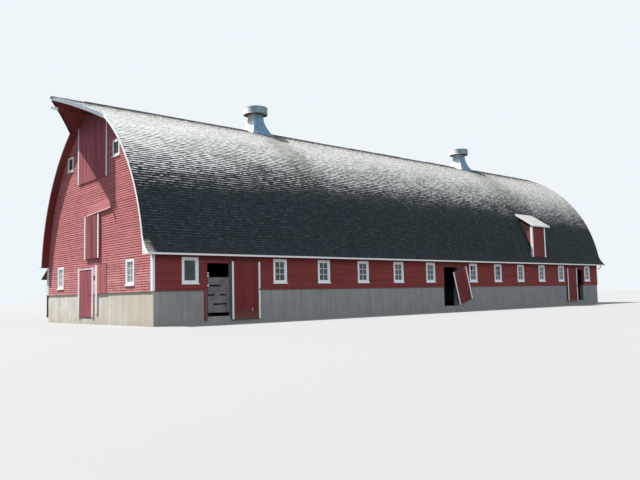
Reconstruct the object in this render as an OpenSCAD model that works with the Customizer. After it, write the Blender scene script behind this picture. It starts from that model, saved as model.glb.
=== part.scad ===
// Long gothic-roofed barn: cast concrete base walls, boarded upper walls and gables,
// a bent-rafter roof with flared eaves, a pointed hay hood, a dormer and two ridge ventilators.
// +X runs along the barn away from the hooded gable, -Y is the front side with the three doors,
// +Z is up. The origin is in the middle of the plan, on the ground.

/* [Barn] */
// Length over the two gable walls
barn_length = 37000; // [36600:100:37300]
// Width over the two side walls
barn_width = 11600; // [11400:100:11800]
// Height of the cast concrete base walls
base_height = 1410; // [1350:10:1470]
// Thickness of the base walls
base_thick = 250; // [200:10:280]
// How far the base walls stand back from the siding above them
base_setback = 30; // [20:5:40]
// Thickness of the boarded walls
wall_thick = 150; // [130:10:180]
// Height of the top of the side walls, where the rafters stand
plate_height = 2880; // [2860:10:2900]
// Height of the ground floor
floor_height = 300; // [250:10:330]
// Height of the loft floor
loft_height = 3000; // [2980:10:3010]

/* [Roof] */
// Outer radius that the rafters are bent to
rafter_radius = 8770; // [8700:10:8850]
// Height of the centre of that bend
rafter_centre_z = 2050; // [2000:10:2100]
// Thickness of the roof shell
roof_thick = 100; // [80:5:120]
// Height at which the flare of the eaves leaves the rafters
flare_top = 3750; // [3650:10:3850]
// Radius of the flare
flare_radius = 1450; // [1400:10:1500]
// Pitch angle at which the flare ends, from the vertical
flare_end = 50; // [46:1:52]
// Height of the underside of the eaves
soffit_height = 2860; // [2855:1:2875]
// Overhang of the roof past the hooded gable
near_overhang = 370; // [300:10:450]
// Overhang of the roof past the other gable
far_overhang = 600; // [450:10:640]
// Reach of the hay hood past the hooded gable
hood_reach = 1950; // [1700:10:2000]
// Half the width of the hay hood where it meets the roof's edge
hood_half = 1900; // [1750:10:2000]
// Depth of the white boards on the roof's edges
edge_board = 75; // [60:5:90]

/* [Ventilators] */
// Places of the two ventilators along the ridge
vent_x = [-9120, 9620];
// Side of a ventilator's square foot
vent_foot = 1370; // [1250:10:1420]
// Side of the neck where the foot's flare ends
vent_neck = 610; // [560:10:700]
// Diameter of the drum
vent_drum = 1360; // [1200:10:1450]
// Height above the ridge at which the flare ends
vent_rise = 950; // [900:10:970]
// Height of the drum's lower rim above the ridge
vent_rim = 985; // [975:5:1010]

/* [Windows] */
// Outer width of a stable window's casing
window_w = 780; // [740:10:820]
// Outer height of a stable window's casing
window_h = 1150; // [1100:10:1180]
// Height of the foot of that casing
window_z = 1640; // [1600:10:1660]
// Outer width and height of a loft window's casing
loft_window_w = 700; // [640:10:740]
loft_window_h = 790; // [740:10:820]

/* [Doors] */
// Width of a sliding door
slide_door_w = 1500; // [1480:10:1540]
// Width of the doorways on the front side
doorway_w = 1240; // [1200:10:1250]
// Height of the head of the doorways
doorway_top = 2565; // [2520:5:2580]
// Tilt of the middle door, which has come off one hanger
middle_door_tilt = 16; // [10:1:17]

/* [Hidden] */
$fn = 720;

half_l = barn_length / 2;
half_w = barn_width / 2;
// Rafter arc: its centre lies past the middle of the barn
arc_past = rafter_radius - half_w - 40;
ridge_height = rafter_centre_z + sqrt(pow(rafter_radius, 2) - pow(arc_past, 2));
flare_start = asin((flare_top - rafter_centre_z) / rafter_radius);
flare_cy = -arc_past + (rafter_radius + flare_radius) * cos(flare_start);
flare_cz = rafter_centre_z + (rafter_radius + flare_radius) * sin(flare_start);
eave_y = flare_cy - flare_radius * cos(flare_end);
eave_z = flare_cz - flare_radius * sin(flare_end);
near_edge = -half_l - near_overhang;
far_edge = half_l + far_overhang;
hood_tip = -half_l - hood_reach;
// A height below the hood's foot and above the windows
hood_foot = 8500;
board = 25;

// Half width of the roof at height z, on the outside or depth mm inside it
function roof_y(z, depth = 0) =
    -arc_past + sqrt(pow(rafter_radius - depth, 2) - pow(z - rafter_centre_z, 2));
// Height of the roof at half width y
function roof_z(y, depth = 0) =
    rafter_centre_z + sqrt(pow(rafter_radius - depth, 2) - pow(y + arc_past, 2));

// Places along the front side, measured from the middle of the barn
front_windows = concat([-16820], [for (i = [0:4]) -12110 + 2700 * i],
                       [for (i = [0:4]) 2730 + 2605 * i], [16900]);
rear_windows = [for (i = [1:11]) front_windows[i]];
lower_gable_windows = [-3810, 3950];
upper_gable_windows = [[-2460, 7360], [2750, 7430]];
near_way = -16000;
middle_way = -100;
end_way = 15060;
near_door_x = -14810;
end_door_x = 13880;
middle_door_x = 1910;
middle_door_h = 1990;
slide_door_foot = 145;
end_door_foot = 305;
slide_door_top = 2640;
door_gap = 45;
door_thick = 40;
edge_w = 90;
edge_thick = 20;
rail_z = 2690;
rail_h = 45;
// Distance of the rail's two faces from the wall
rail_y = [15, 43];

walk_y0 = 110;
walk_y1 = 1560;
walk_top = 2530;
leaf_gap = 10;
loft_door_y = [-840, 740];
loft_door_z = [3020, 5005];
loft_door_out = 100;
hay_door_y = [-1610, 1690];
hay_door_z = 6670;
hay_door_out = 55;
rear_way = [-18250, -17010];
// How much lower than the front doors the rear one hangs, under its hood
rear_drop = 150;

// Dormer: its sides, the foot and half width of its face, and its roof, which falls
// from back to front
dormer_x = [9430, 11060];
dormer_foot = 3350;
dormer_face = 5880;
dormer_roof_x = [9300, 11470];
dormer_eave = 6070;
dormer_eave_z = 5390;
dormer_pitch = 0.653;
dormer_slab = 90;
dormer_wall = 60;
dormer_hole = [3470, 5360];
// Height of the underside of the dormer's roof at half width y
function dormer_top(y) = dormer_eave_z + (dormer_eave - y) * dormer_pitch;

// Draws a (Y, Z) outline from x0 to x1
module along_x(x0, x1) {
    translate([x0, 0, 0]) rotate([90, 0, 90]) linear_extrude(x1 - x0) children();
}
// Draws an (X, Z) outline from y0 to y1
module along_y(y0, y1) {
    translate([0, y1, 0]) rotate([90, 0, 0]) linear_extrude(y1 - y0) children();
}
module box(lo, hi) {
    translate(lo) cube(hi - lo);
}
module both_sides() {
    children();
    mirror([0, 1, 0]) children();
}

// Rafter band on the +Y side, from foot to the ridge
module rafter_band(foot, outside = 0) {
    intersection() {
        translate([-arc_past, rafter_centre_z]) difference() {
            circle(rafter_radius + outside);
            circle(rafter_radius - roof_thick);
        }
        translate([0, foot]) square([half_w + 200, ridge_height]);
    }
}
function from_flare(angle, r) = [flare_cy - r * cos(angle), flare_cz - r * sin(angle)];
// Curved flare that carries the shingles out over the wall
module flare_band() {
    far = 2 * flare_radius;
    intersection() {
        translate([flare_cy, flare_cz]) difference() {
            circle(flare_radius + roof_thick);
            circle(flare_radius);
        }
        polygon([[flare_cy, flare_cz], from_flare(flare_start, far), from_flare(flare_end, far)]);
        translate([0, soffit_height]) square([eave_y + roof_thick, ridge_height]);
    }
}
module half_roof_outline() {
    rafter_band(plate_height);
    flare_band();
}
// Solid wedge between the rafters and the flare, as the rake boards close it
module flare_fill(foot) {
    difference() {
        translate([half_w - roof_thick, foot]) square([eave_y - half_w + roof_thick, flare_top - foot]);
        translate([flare_cy, flare_cz]) circle(flare_radius);
    }
}
// Arch above the plates that the gable walls fill, inside the roof shell
module arch_outline() {
    for (side = [0, 1]) mirror([side, 0]) intersection() {
        translate([-arc_past, rafter_centre_z]) circle(rafter_radius - roof_thick);
        translate([0, plate_height]) square([half_w, ridge_height]);
    }
}
// All that lies inside the roof's outer face on the +Y side, above the soffit, grown by
// the hair that keeps what stands on the roof clear of it
roof_hair = 1;
module roof_body() {
    translate([-arc_past, rafter_centre_z]) circle(rafter_radius + roof_hair);
    difference() {
        translate([half_w - 2 * roof_thick, soffit_height])
            square([eave_y - half_w + 2 * roof_thick, flare_top - soffit_height]);
        translate([flare_cy, flare_cz]) circle(flare_radius - roof_hair);
    }
}
module window_hole_2d(y, z, w, h) {
    translate([y - w / 2 + 90, z + 140]) square([w - 180, h - 230]);
}

// Ground floor, with sills that fill the doorways
module floor_slab() {
    inner_x = half_l - base_setback - base_thick;
    inner_y = half_w - base_setback - base_thick;
    color("darkgray") union() {
        box([-inner_x, -inner_y, 0], [inner_x, inner_y, floor_height]);
        for (x = [near_way, middle_way, end_way])
            box([x, -half_w + base_setback, 0], [x + doorway_w, -inner_y, floor_height]);
        box([rear_way[0], inner_y, 0], [rear_way[1], half_w - base_setback, floor_height]);
        box([-half_l + base_setback, walk_y0, 0], [-inner_x, walk_y1, floor_height]);
    }
}

module base_run(x0, x1, side) {
    face = half_w - base_setback;
    if (side > 0) box([x0, face - base_thick, 0], [x1, face, base_height]);
    else box([x0, -face, 0], [x1, -face + base_thick, base_height]);
}
base_end = half_l - base_setback;
module side_bases() {
    color("lightgray") {
        base_run(-base_end, near_way, -1);
        base_run(near_way + doorway_w, middle_way, -1);
        base_run(middle_way + doorway_w, end_way, -1);
        base_run(end_way + doorway_w, base_end, -1);
        base_run(-base_end, rear_way[0], 1);
        base_run(rear_way[1], base_end, 1);
    }
}
module end_bases() {
    side_y = half_w - base_setback - base_thick;
    color("lightgray") {
        box([-base_end, -side_y, 0], [-base_end + base_thick, walk_y0, base_height]);
        box([-base_end, walk_y1, 0], [-base_end + base_thick, side_y, base_height]);
        box([base_end - base_thick, -side_y, 0], [base_end, side_y, base_height]);
    }
}

module side_wall_run(x0, x1, windows) {
    along_y(-half_w, -half_w + wall_thick) difference() {
        translate([x0, base_height]) square([x1 - x0, plate_height - base_height]);
        for (x = windows) window_hole_2d(x, window_z, window_w, window_h);
    }
}
wall_end = half_l - wall_thick;
module front_wall() {
    color("firebrick") {
        side_wall_run(-wall_end, near_way, front_windows);
        side_wall_run(near_way + doorway_w, middle_way, front_windows);
        side_wall_run(middle_way + doorway_w, end_way, front_windows);
        side_wall_run(end_way + doorway_w, wall_end, front_windows);
    }
}
module front_headers() {
    color("firebrick") for (x = [near_way, middle_way, end_way])
        box([x, -half_w, doorway_top], [x + doorway_w, -half_w + wall_thick, plate_height]);
}
module rear_wall() {
    color("firebrick") mirror([0, 1, 0]) {
        side_wall_run(-wall_end, rear_way[0], []);
        side_wall_run(rear_way[1], wall_end, rear_windows);
        box([rear_way[0], -half_w, doorway_top - rear_drop],
            [rear_way[1], -half_w + wall_thick, plate_height]);
    }
}

// Small square hole beside the walk door
latch_hole = [-250, 2015];
latch_hole_w = 190;
module near_gable_lower() {
    color("firebrick") along_x(-half_l, -wall_end) difference() {
        translate([-half_w, base_height]) square([barn_width, plate_height - base_height]);
        translate([walk_y0, base_height - 1]) square([walk_y1 - walk_y0, plate_height]);
        translate(latch_hole) square([latch_hole_w, latch_hole_w]);
        for (y = lower_gable_windows) window_hole_2d(y, window_z, window_w, window_h);
    }
}
module upper_gable_outline() {
    difference() {
        arch_outline();
        for (w = upper_gable_windows) window_hole_2d(w[0], w[1], loft_window_w, loft_window_h);
    }
}
// Opening that a gable door covers, with lap on every side of it
module behind_door(y, z, lap) {
    translate([y[0] + lap, z[0] + lap]) square([y[1] - y[0] - 2 * lap, z[1] - z[0] - 2 * lap]);
}
hay_way_top = 9160;
module near_gable() {
    lap = 80;
    color("firebrick") along_x(-half_l, -wall_end) union() {
        difference() {
            upper_gable_outline();
            behind_door(loft_door_y, loft_door_z, lap);
            behind_door(hay_door_y, [hay_door_z, hay_way_top], lap);
        }
        translate([walk_y0, walk_top]) square([walk_y1 - walk_y0, plate_height - walk_top]);
    }
}
module far_gable() {
    color("firebrick") along_x(wall_end, half_l) difference() {
        union() {
            upper_gable_outline();
            translate([-half_w, base_height]) square([barn_width, plate_height - base_height]);
        }
        for (y = lower_gable_windows) window_hole_2d(y, window_z, window_w, window_h);
    }
}

loft_y = half_w - wall_thick;
loft_board_foot = loft_height - 40;
module loft_floor() {
    color("burlywood") box([-wall_end, -loft_y, loft_board_foot], [wall_end, loft_y, loft_height]);
}
// Joists that cross the barn under the boards of the loft
module loft_joists() {
    joist = [60, 200];
    pitch = 1220;
    each_way = 14;
    foot = loft_board_foot - joist[1];
    color("burlywood") for (i = [-each_way:each_way])
        box([i * pitch - joist[0] / 2, -loft_y, foot], [i * pitch + joist[0] / 2, loft_y, loft_board_foot]);
}

module front_roof() {
    color("dimgray") difference() {
        along_x(near_edge, far_edge) mirror([1, 0]) half_roof_outline();
        box([dormer_x[0] + dormer_wall, -dormer_eave - 200, dormer_hole[0]],
            [dormer_x[1] - dormer_wall, -half_w + 1200, dormer_hole[1]]);
    }
}
module rear_roof() {
    color("dimgray") along_x(near_edge, far_edge) half_roof_outline();
}

// Plan of the hood with its blunt tip, grown by g on its slanted sides
module hood_plan(g = 0) {
    blunt = 40;
    polygon([[near_edge, -hood_half - g], [near_edge, hood_half + g],
             [hood_tip, blunt + g], [hood_tip, -blunt - g]]);
}
// Both slopes of the hood. Each circle is turned so that a corner of its outline falls
// on the ridge or on the band's foot, at half width low_y
module hood_band(outside, depth, low_y) {
    outer = rafter_radius + outside;
    inner = rafter_radius - depth;
    for (side = [0, 1]) mirror([side, 0]) intersection() {
        translate([-arc_past, rafter_centre_z]) difference() {
            rotate(acos(arc_past / outer)) circle(outer);
            rotate(acos((arc_past + low_y) / inner)) circle(inner);
        }
        translate([0, hood_foot]) square([half_w, ridge_height]);
    }
}
module hay_hood() {
    color("dimgray") intersection() {
        along_x(hood_tip, near_edge) hood_band(0, roof_thick, hood_half);
        translate([0, 0, hood_foot]) linear_extrude(ridge_height) hood_plan();
    }
}
// Weathered boards along the two slanted edges of the hood
module hood_fascia() {
    drop = 60;
    color("slategray") intersection() {
        along_x(hood_tip, near_edge) hood_band(0, roof_thick + drop, hood_half + board);
        translate([0, 0, hood_foot]) linear_extrude(ridge_height) difference() {
            hood_plan(board);
            hood_plan();
        }
    }
}
// Rail under the hood on which hay was carried in, on three hangers
module hay_track() {
    foot = 9740;
    rail = [35, 110];
    hanger = [50, 12];
    first = 350;
    pitch = 500;
    color("sienna") union() {
        box([hood_tip - 60, -rail[0], foot], [-half_l - hay_door_out - board, rail[0], foot + rail[1]]);
        for (x = [hood_tip + first:pitch:hood_tip + first + 2 * pitch])
            box([x, -hanger[1], foot + rail[1] - 10],
                [x + hanger[0], hanger[1], roof_z(hanger[1], roof_thick)]);
    }
}
// Bent strip over the ridge, which stops at the feet of the ventilators
module ridge_cap() {
    cap_w = 170;
    thick = 22;
    outer = rafter_radius + thick;
    inner = rafter_radius + roof_hair;
    color("dimgray") difference() {
        along_x(hood_tip - 40, far_edge + 20) for (side = [0, 1]) mirror([side, 0]) intersection() {
            translate([-arc_past, rafter_centre_z]) difference() {
                rotate(acos(arc_past / outer)) circle(outer);
                rotate(acos((arc_past + cap_w) / inner)) circle(inner);
            }
            translate([0, ridge_height - cap_w]) square([cap_w, 2 * cap_w]);
        }
        for (x = vent_x)
            box([x - vent_foot / 2, -vent_foot, ridge_height - vent_foot],
                [x + vent_foot / 2, vent_foot, ridge_height + vent_foot]);
    }
}

module rake_outline(foot) {
    for (side = [0, 1]) mirror([side, 0]) {
        rafter_band(foot);
        flare_fill(foot);
    }
}
module rake_boards() {
    color("white") {
        along_x(near_edge - board, near_edge) difference() {
            rake_outline(soffit_height);
            translate([-hood_half - 40, hood_foot]) square([2 * hood_half + 80, ridge_height]);
        }
        along_x(far_edge, far_edge + board) rake_outline(soffit_height);
    }
}
module eave_boards() {
    color("white") both_sides()
        box([near_edge - board, eave_y, soffit_height - 10],
            [far_edge + board, eave_y + board, soffit_height - 10 + edge_board]);
}
// Boards that cover the corners, from the base to the eaves, and those of the dormer
module corner_boards() {
    gable_w = 145;
    side_w = 75;
    top = plate_height - 10;
    color("white") {
        difference() {
            both_sides() for (side = [0, 1]) mirror([side, 0, 0]) {
                box([-half_l - board, -half_w - board, base_height], [-half_l, -half_w + gable_w, top]);
                box([-half_l, -half_w - board, base_height], [-half_l + side_w, -half_w, top]);
            }
            along_x(-half_l, -half_l + gable_w) rear_hood_outline();
        }
        dormer_corner();
        translate([dormer_x[0] + dormer_x[1], 0, 0]) mirror([1, 0, 0]) dormer_corner();
    }
}
// Left corner of the dormer, a board on its face and one on its side
module dormer_corner() {
    face_w = 110;
    side_w = 130;
    front = -dormer_face - board;
    top = dormer_top(dormer_face + board) - 2;
    difference() {
        union() {
            box([dormer_x[0] - board, front, dormer_foot], [dormer_x[0] + face_w, -dormer_face, top]);
            box([dormer_x[0] - board, front, dormer_foot], [dormer_x[0], front + side_w, top]);
        }
        along_x(dormer_x[0] - vent_foot, dormer_x[0] + vent_foot) mirror([1, 0]) roof_body();
    }
}

// How far the sashes stand in from the face of the wall
sash_in = 12;
// One casing with its lining, sash and sill, its outside facing -Y, centred on x = 0
module window_frame(w, h) {
    hole_w = w - 180;
    hole_h = h - 230;
    lining = 20;
    sash = 45;
    along_y(-board, 0) difference() {
        translate([-w / 2, 60]) square([w, h - 60]);
        translate([-hole_w / 2 + lining, 140 + lining]) square([hole_w - 2 * lining, hole_h - 2 * lining]);
    }
    along_y(0, wall_thick) difference() {
        translate([-hole_w / 2, 140]) square([hole_w, hole_h]);
        translate([-hole_w / 2 + lining, 140 + lining]) square([hole_w - 2 * lining, hole_h - 2 * lining]);
    }
    along_y(sash_in, sash_in + 35) difference() {
        translate([-hole_w / 2 + lining, 140 + lining]) square([hole_w - 2 * lining, hole_h - 2 * lining]);
        translate([-hole_w / 2 + sash, 140 + sash]) square([hole_w - 2 * sash, hole_h - 2 * sash]);
    }
    box([-w / 2 - 30, -board - 35, 20], [w / 2 + 30, 0, 62]);
}
module pane(w, h) {
    sash = 45;
    glass = 6;
    y = sash_in + 14;
    box([-w / 2 + 90 + sash, y, 140 + sash], [w / 2 - 90 - sash, y + glass, h - 90 - sash]);
}
// Puts a window of each kind at every place, drawn by the two children
module at_windows() {
    for (x = front_windows) translate([x, -half_w, window_z]) children(0);
    for (x = rear_windows) translate([x, half_w, window_z]) mirror([0, 1, 0]) children(0);
    for (side = [0, 1]) mirror([side, 0, 0]) {
        for (y = lower_gable_windows) translate([-half_l, y, window_z]) rotate([0, 0, -90]) children(0);
        for (p = upper_gable_windows) translate([-half_l, p[0], p[1]]) rotate([0, 0, -90]) children(1);
    }
}
module window_frames() {
    color("white") at_windows() {
        union() window_frame(window_w, window_h);
        union() window_frame(loft_window_w, loft_window_h);
    }
}
module window_glass() {
    color("lightsteelblue") at_windows() {
        pane(window_w, window_h);
        pane(loft_window_w, loft_window_h);
    }
}

// Leaf of a sliding door, its left foot at x = 0, on two rollers that run on the rail
module sliding_leaf(w, h) {
    back = -half_w - door_gap;
    front = back - door_thick;
    strap = [50, 8, 180];
    roller = 32;
    roller_z = h + rail_z + rail_h - slide_door_top + roller + 0.5;
    from_edge = 220;
    union() {
        box([0, front, 0], [w, back, h]);
        for (x = [from_edge, w - from_edge]) {
            box([x - strap[0] / 2, front - strap[1], h - strap[2]],
                [x + strap[0] / 2, front, roller_z + roller]);
            translate([x, -half_w - rail_y[0], roller_z]) rotate([90, 0, 0])
                cylinder(r = 10, h = door_gap + door_thick - rail_y[0] + strap[1] / 2, $fn = 24);
            translate([x, -half_w - rail_y[0] - 1, roller_z]) rotate([90, 0, 0])
                cylinder(r = roller, h = rail_y[1] - rail_y[0] - 2, $fn = 48);
        }
    }
}
module leaf_edges(w, h) {
    front = -half_w - door_gap - door_thick;
    box([0, front - edge_thick, 0], [edge_w, front, h]);
    box([w - edge_w, front - edge_thick, 0], [w, front, h]);
}
module near_door() {
    color("maroon") translate([near_door_x, 0, slide_door_foot])
        sliding_leaf(slide_door_w, slide_door_top - slide_door_foot);
}
module near_door_edges() {
    color("white") translate([near_door_x, 0, slide_door_foot])
        leaf_edges(slide_door_w, slide_door_top - slide_door_foot);
}
end_door_w = 1360;
module end_door() {
    color("maroon") translate([end_door_x, 0, end_door_foot])
        sliding_leaf(end_door_w, slide_door_top - end_door_foot);
}
module end_door_edges() {
    color("white") translate([end_door_x, 0, end_door_foot])
        leaf_edges(end_door_w, slide_door_top - end_door_foot);
}
// Turns about the upper right corner, from which the middle door still hangs
module tilted(w) {
    translate([middle_door_x, 0, slide_door_top - 20]) rotate([0, -middle_door_tilt, 0])
        translate([-w, 0, -middle_door_h]) children();
}
middle_door_w = 1320;
module middle_door() {
    front = -half_w - door_gap - door_thick;
    hanger = [50, 8, 200];
    from_edge = 220;
    color("maroon") tilted(middle_door_w) union() {
        box([0, front, 0], [middle_door_w, front + door_thick, middle_door_h]);
        for (x = [from_edge, middle_door_w - from_edge])
            box([x - hanger[0] / 2, front - hanger[1], middle_door_h - hanger[2]],
                [x + hanger[0] / 2, front, middle_door_h]);
    }
}
rear_door_x = -half_l - 20;
rear_door_w = 1560;
rear_door_foot = 250;
module fixed_door_edges() {
    color("white") {
        tilted(middle_door_w) leaf_edges(middle_door_w, middle_door_h);
        mirror([0, 1, 0]) translate([rear_door_x, 0, rear_door_foot])
            leaf_edges(rear_door_w, slide_door_top - rear_drop - rear_door_foot);
        gable_door_edges(loft_door_y, loft_door_z, loft_door_out);
        gable_door_edges(hay_door_y, [hay_door_z, ridge_height], hay_door_out);
    }
}
// Upright boards on the two edges of a door in the gable, out mm off the wall
module gable_door_edges(y, z, out) {
    w = 105;
    along_x(-half_l - out - edge_thick, -half_l - out) intersection() {
        arch_outline();
        for (left = [y[0], y[1] - w]) translate([left, z[0]]) square([w, z[1] - z[0]]);
    }
}
module rear_door() {
    color("maroon") mirror([0, 1, 0]) translate([rear_door_x, 0, rear_door_foot])
        sliding_leaf(rear_door_w, slide_door_top - rear_drop - rear_door_foot);
}
// Outline of the lean-to hood over the rear door
module rear_hood_outline() {
    fall = 550;
    out = 1000;
    top = 2845;
    thick = 45;
    polygon([
        [half_w, top], [half_w + out, top - fall],
        [half_w + out, top - fall - thick], [half_w, top - thick]
    ]);
}
// Steep boarded hood over the loft door, which has sunk at its left end, and the rear one
module door_hoods() {
    out = 85;
    foot = 5085;
    top = 5570;
    lip = 40;
    y = [-2040, 490];
    sunk = 3.1;
    color("firebrick") {
        translate([0, (y[0] + y[1]) / 2, foot]) rotate([90 - sunk, 0, 0])
            linear_extrude(y[1] - y[0], center = true) polygon([
                [-half_l, 0], [-half_l - out, 0], [-half_l - out, lip], [-half_l, top - foot]
            ]);
        along_x(-half_l, -half_l + 1600) rear_hood_outline();
    }
}
// Steel rail above a doorway, on blocks off the wall
module track(x0, x1) {
    block = 40;
    union() {
        box([x0, -half_w - rail_y[1], rail_z], [x1, -half_w - rail_y[0], rail_z + rail_h]);
        for (x = [x0 + 60, (x0 + x1) / 2, x1 - 60])
            box([x - block / 2, -half_w - rail_y[0], rail_z], [x + block / 2, -half_w, rail_z + rail_h]);
    }
}
module door_tracks() {
    color("gray") {
        track(near_way - 320, near_door_x + slide_door_w + 60);
        track(middle_way - 200, middle_door_x + 120);
        track(end_door_x - 60, end_way + doorway_w + 190);
        mirror([0, 1, 0]) translate([0, 0, -rear_drop])
            track(rear_door_x + 120, rear_door_x + rear_door_w + 1300);
    }
}
// Board on the left of the near doorway and the lining of its right jamb
lining = 30;
module door_posts() {
    post_w = 150;
    depth = 200;
    right = near_way + doorway_w;
    color("firebrick") {
        box([near_way - post_w, -half_w - 20, slide_door_foot],
            [near_way, -half_w + base_setback, base_height]);
        box([right - lining, -half_w, floor_height], [right, -half_w + depth, doorway_top]);
    }
}

// Hinge with its pin upright: the leaf's side is a strap and a barrel, the wall's side
// a pin on a tail under the barrel. The pin is at the origin
barrel_r = 9;
pin_r = 5;
barrel_h = 60;
module hinge_barrel(strap_from, strap_to) {
    difference() {
        union() {
            cylinder(r = barrel_r, h = barrel_h, center = true, $fn = 36);
            box([strap_from[0], strap_from[1], -25], [strap_to[0], strap_to[1], 25]);
        }
        cylinder(r = pin_r + 0.5, h = 2 * barrel_h, center = true, $fn = 36);
    }
}
module hinge_pin(tail_to) {
    tail_top = -barrel_h / 2 - 2;
    tail_h = 14;
    union() {
        translate([0, 0, tail_top - tail_h]) cylinder(r = pin_r, h = barrel_h + tail_h + 12, $fn = 36);
        box([min(0, tail_to[0]) - 5, min(0, tail_to[1]) - 5, tail_top - tail_h],
            [max(5, tail_to[0]), max(5, tail_to[1]), tail_top]);
    }
}

gate_x0 = near_way + 95;
gate_x1 = near_way + doorway_w - lining - 45;
gate_z = [460, 1960];
gate_y = -half_w + 140;
gate_hinge = [gate_x1 + 12, gate_y + 5];
gate_hinge_z = [630, 1790];
// Gate of four wide boards with gaps between them, a stile at the hinges and a broad brace
module stable_gate() {
    gap = 62;
    rows = 4;
    thick = 25;
    stile = 150;
    brace_w = 260;
    brace_from = near_way - 240;
    brace_to = near_way + 1050;
    rail = (gate_z[1] - gate_z[0] - (rows - 1) * gap) / rows;
    color("tan") union() {
        for (i = [0:rows - 1])
            box([gate_x0, gate_y - thick, gate_z[0] + i * (rail + gap)],
                [gate_x1, gate_y, gate_z[0] + i * (rail + gap) + rail]);
        box([gate_x1 - stile, gate_y - 2 * thick, gate_z[0]], [gate_x1, gate_y - thick, gate_z[1]]);
        along_y(gate_y - 2 * thick, gate_y - thick) intersection() {
            translate([gate_x0, gate_z[0]]) square([gate_x1 - gate_x0 - stile, gate_z[1] - gate_z[0]]);
            polygon([
                [brace_from, gate_z[0]], [brace_from + brace_w, gate_z[0]],
                [brace_to + brace_w, gate_z[1]], [brace_to, gate_z[1]]
            ]);
        }
        for (z = gate_hinge_z) translate([gate_hinge[0], gate_hinge[1], z])
            hinge_barrel([-320, -5], [0, 1]);
    }
}

leaf_thick = 45;
walk_hinge = [-half_l - 12, walk_y1 - 11];
walk_hinge_z = [700, 2150];
module walk_door() {
    color("maroon") union() {
        box([-half_l, walk_y0 + leaf_gap, floor_height + 20],
            [-half_l + leaf_thick, walk_y1 - leaf_gap, walk_top - leaf_gap]);
        for (z = walk_hinge_z) translate([walk_hinge[0], walk_hinge[1], z])
            hinge_barrel([6, -300], [12, 0]);
    }
}
module hinge_pins() {
    color("dimgray") {
        for (z = gate_hinge_z) translate([gate_hinge[0], gate_hinge[1], z])
            hinge_pin([near_way + doorway_w - lining - gate_hinge[0], 5]);
        for (z = walk_hinge_z) translate([walk_hinge[0], walk_hinge[1], z])
            hinge_pin([5, walk_y1 - walk_hinge[1]]);
    }
}
// Casing boards, and the loose white board to the right of them
module walk_door_casing() {
    out = -half_l - board;
    w = 160;
    joint = 1;
    color("white") {
        box([out, walk_y1, floor_height], [-half_l, walk_y1 + w, walk_top + 100]);
        box([out, walk_y0 - w, floor_height], [-half_l, walk_y0, walk_top + 100]);
        box([out, walk_y0 + joint, walk_top], [-half_l, walk_y1 - joint, walk_top + 60]);
        box([out - 5, walk_y0 - 620, 500], [-half_l, walk_y0 - 410, walk_top + 170]);
    }
}
module board_panel() {
    color("maroon") box([-half_l - 30, -1530, base_height - 30], [-half_l, -530, 2710]);
}

// Two leaves that stand off the wall on a frame of battens, with a gap between them
module loft_door() {
    thick = 45;
    batten = 90;
    gap = 40;
    seam = [300, 400];
    w = loft_door_y[1] - loft_door_y[0];
    h = loft_door_z[1] - loft_door_z[0];
    color("maroon") translate([0, loft_door_y[0], loft_door_z[0]]) union() {
        along_x(-half_l - loft_door_out, -half_l - loft_door_out + thick) difference() {
            square([w, h]);
            translate([(w - gap) / 2, seam[0]]) square([gap, h - seam[0] - seam[1]]);
        }
        along_x(-half_l - loft_door_out + thick, -half_l) difference() {
            square([w, h]);
            translate([batten, batten]) square([w - 2 * batten, h - 2 * batten]);
        }
    }
}
module hay_door() {
    color("maroon") along_x(-half_l - hay_door_out, -half_l) intersection() {
        arch_outline();
        translate([hay_door_y[0], hay_door_z])
            square([hay_door_y[1] - hay_door_y[0], ridge_height - hay_door_z]);
    }
}

// Two cheeks that stand on the front slope, joined by a sill
module dormer_cheeks() {
    back = half_w - 1010;
    sill = 80;
    color("firebrick") difference() {
        union() {
            for (x = [dormer_x[0], dormer_x[1] - dormer_wall])
                along_x(x, x + dormer_wall) mirror([1, 0]) polygon([
                    [back, dormer_foot], [dormer_face, dormer_foot],
                    [dormer_face, dormer_top(dormer_face)], [back, dormer_top(back)]
                ]);
            box([dormer_x[0], -dormer_face, dormer_foot - 60],
                [dormer_x[1], -dormer_face + 2 * sill, dormer_foot - 60 + sill]);
        }
        along_x(dormer_x[0] - 10, dormer_x[1] + 10) mirror([1, 0]) roof_body();
    }
}
module dormer_roof() {
    back = half_w - 1250;
    color("dimgray") difference() {
        along_x(dormer_roof_x[0], dormer_roof_x[1]) mirror([1, 0]) polygon([
            [dormer_eave, dormer_top(dormer_eave)], [dormer_eave, dormer_top(dormer_eave) + dormer_slab],
            [back, dormer_top(back) + dormer_slab], [back, dormer_top(back)]
        ]);
        along_x(dormer_roof_x[0] - 10, dormer_roof_x[1] + 10) mirror([1, 0]) roof_body();
    }
}
module dormer_door() {
    set_in = 20;
    thick = 40;
    top = dormer_top(dormer_face);
    color("maroon") box([dormer_x[0] + dormer_wall, -dormer_face + set_in, dormer_foot + set_in],
                        [dormer_x[1] - dormer_wall, -dormer_face + set_in + thick, top]);
}

// Four-sided foot astride the ridge, its faces drawn in to a neck that stands in the drum.
// The roof's circle is turned so that a corner of its outline falls on the foot's edge
module vent_foot_shape() {
    low = ridge_height - 420;
    edge_turn = acos((arc_past + vent_foot / 2) / rafter_radius);
    difference() {
        intersection() {
            along_y(-vent_foot / 2, vent_foot / 2) vent_side(low);
            rotate([0, 0, 90]) along_y(-vent_foot / 2, vent_foot / 2) vent_side(low);
        }
        along_x(-vent_foot, vent_foot) intersection_for(side = [0, 1]) mirror([side, 0])
            translate([-arc_past, rafter_centre_z]) rotate(edge_turn) circle(rafter_radius);
    }
}
drum_recess = 110;
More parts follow.
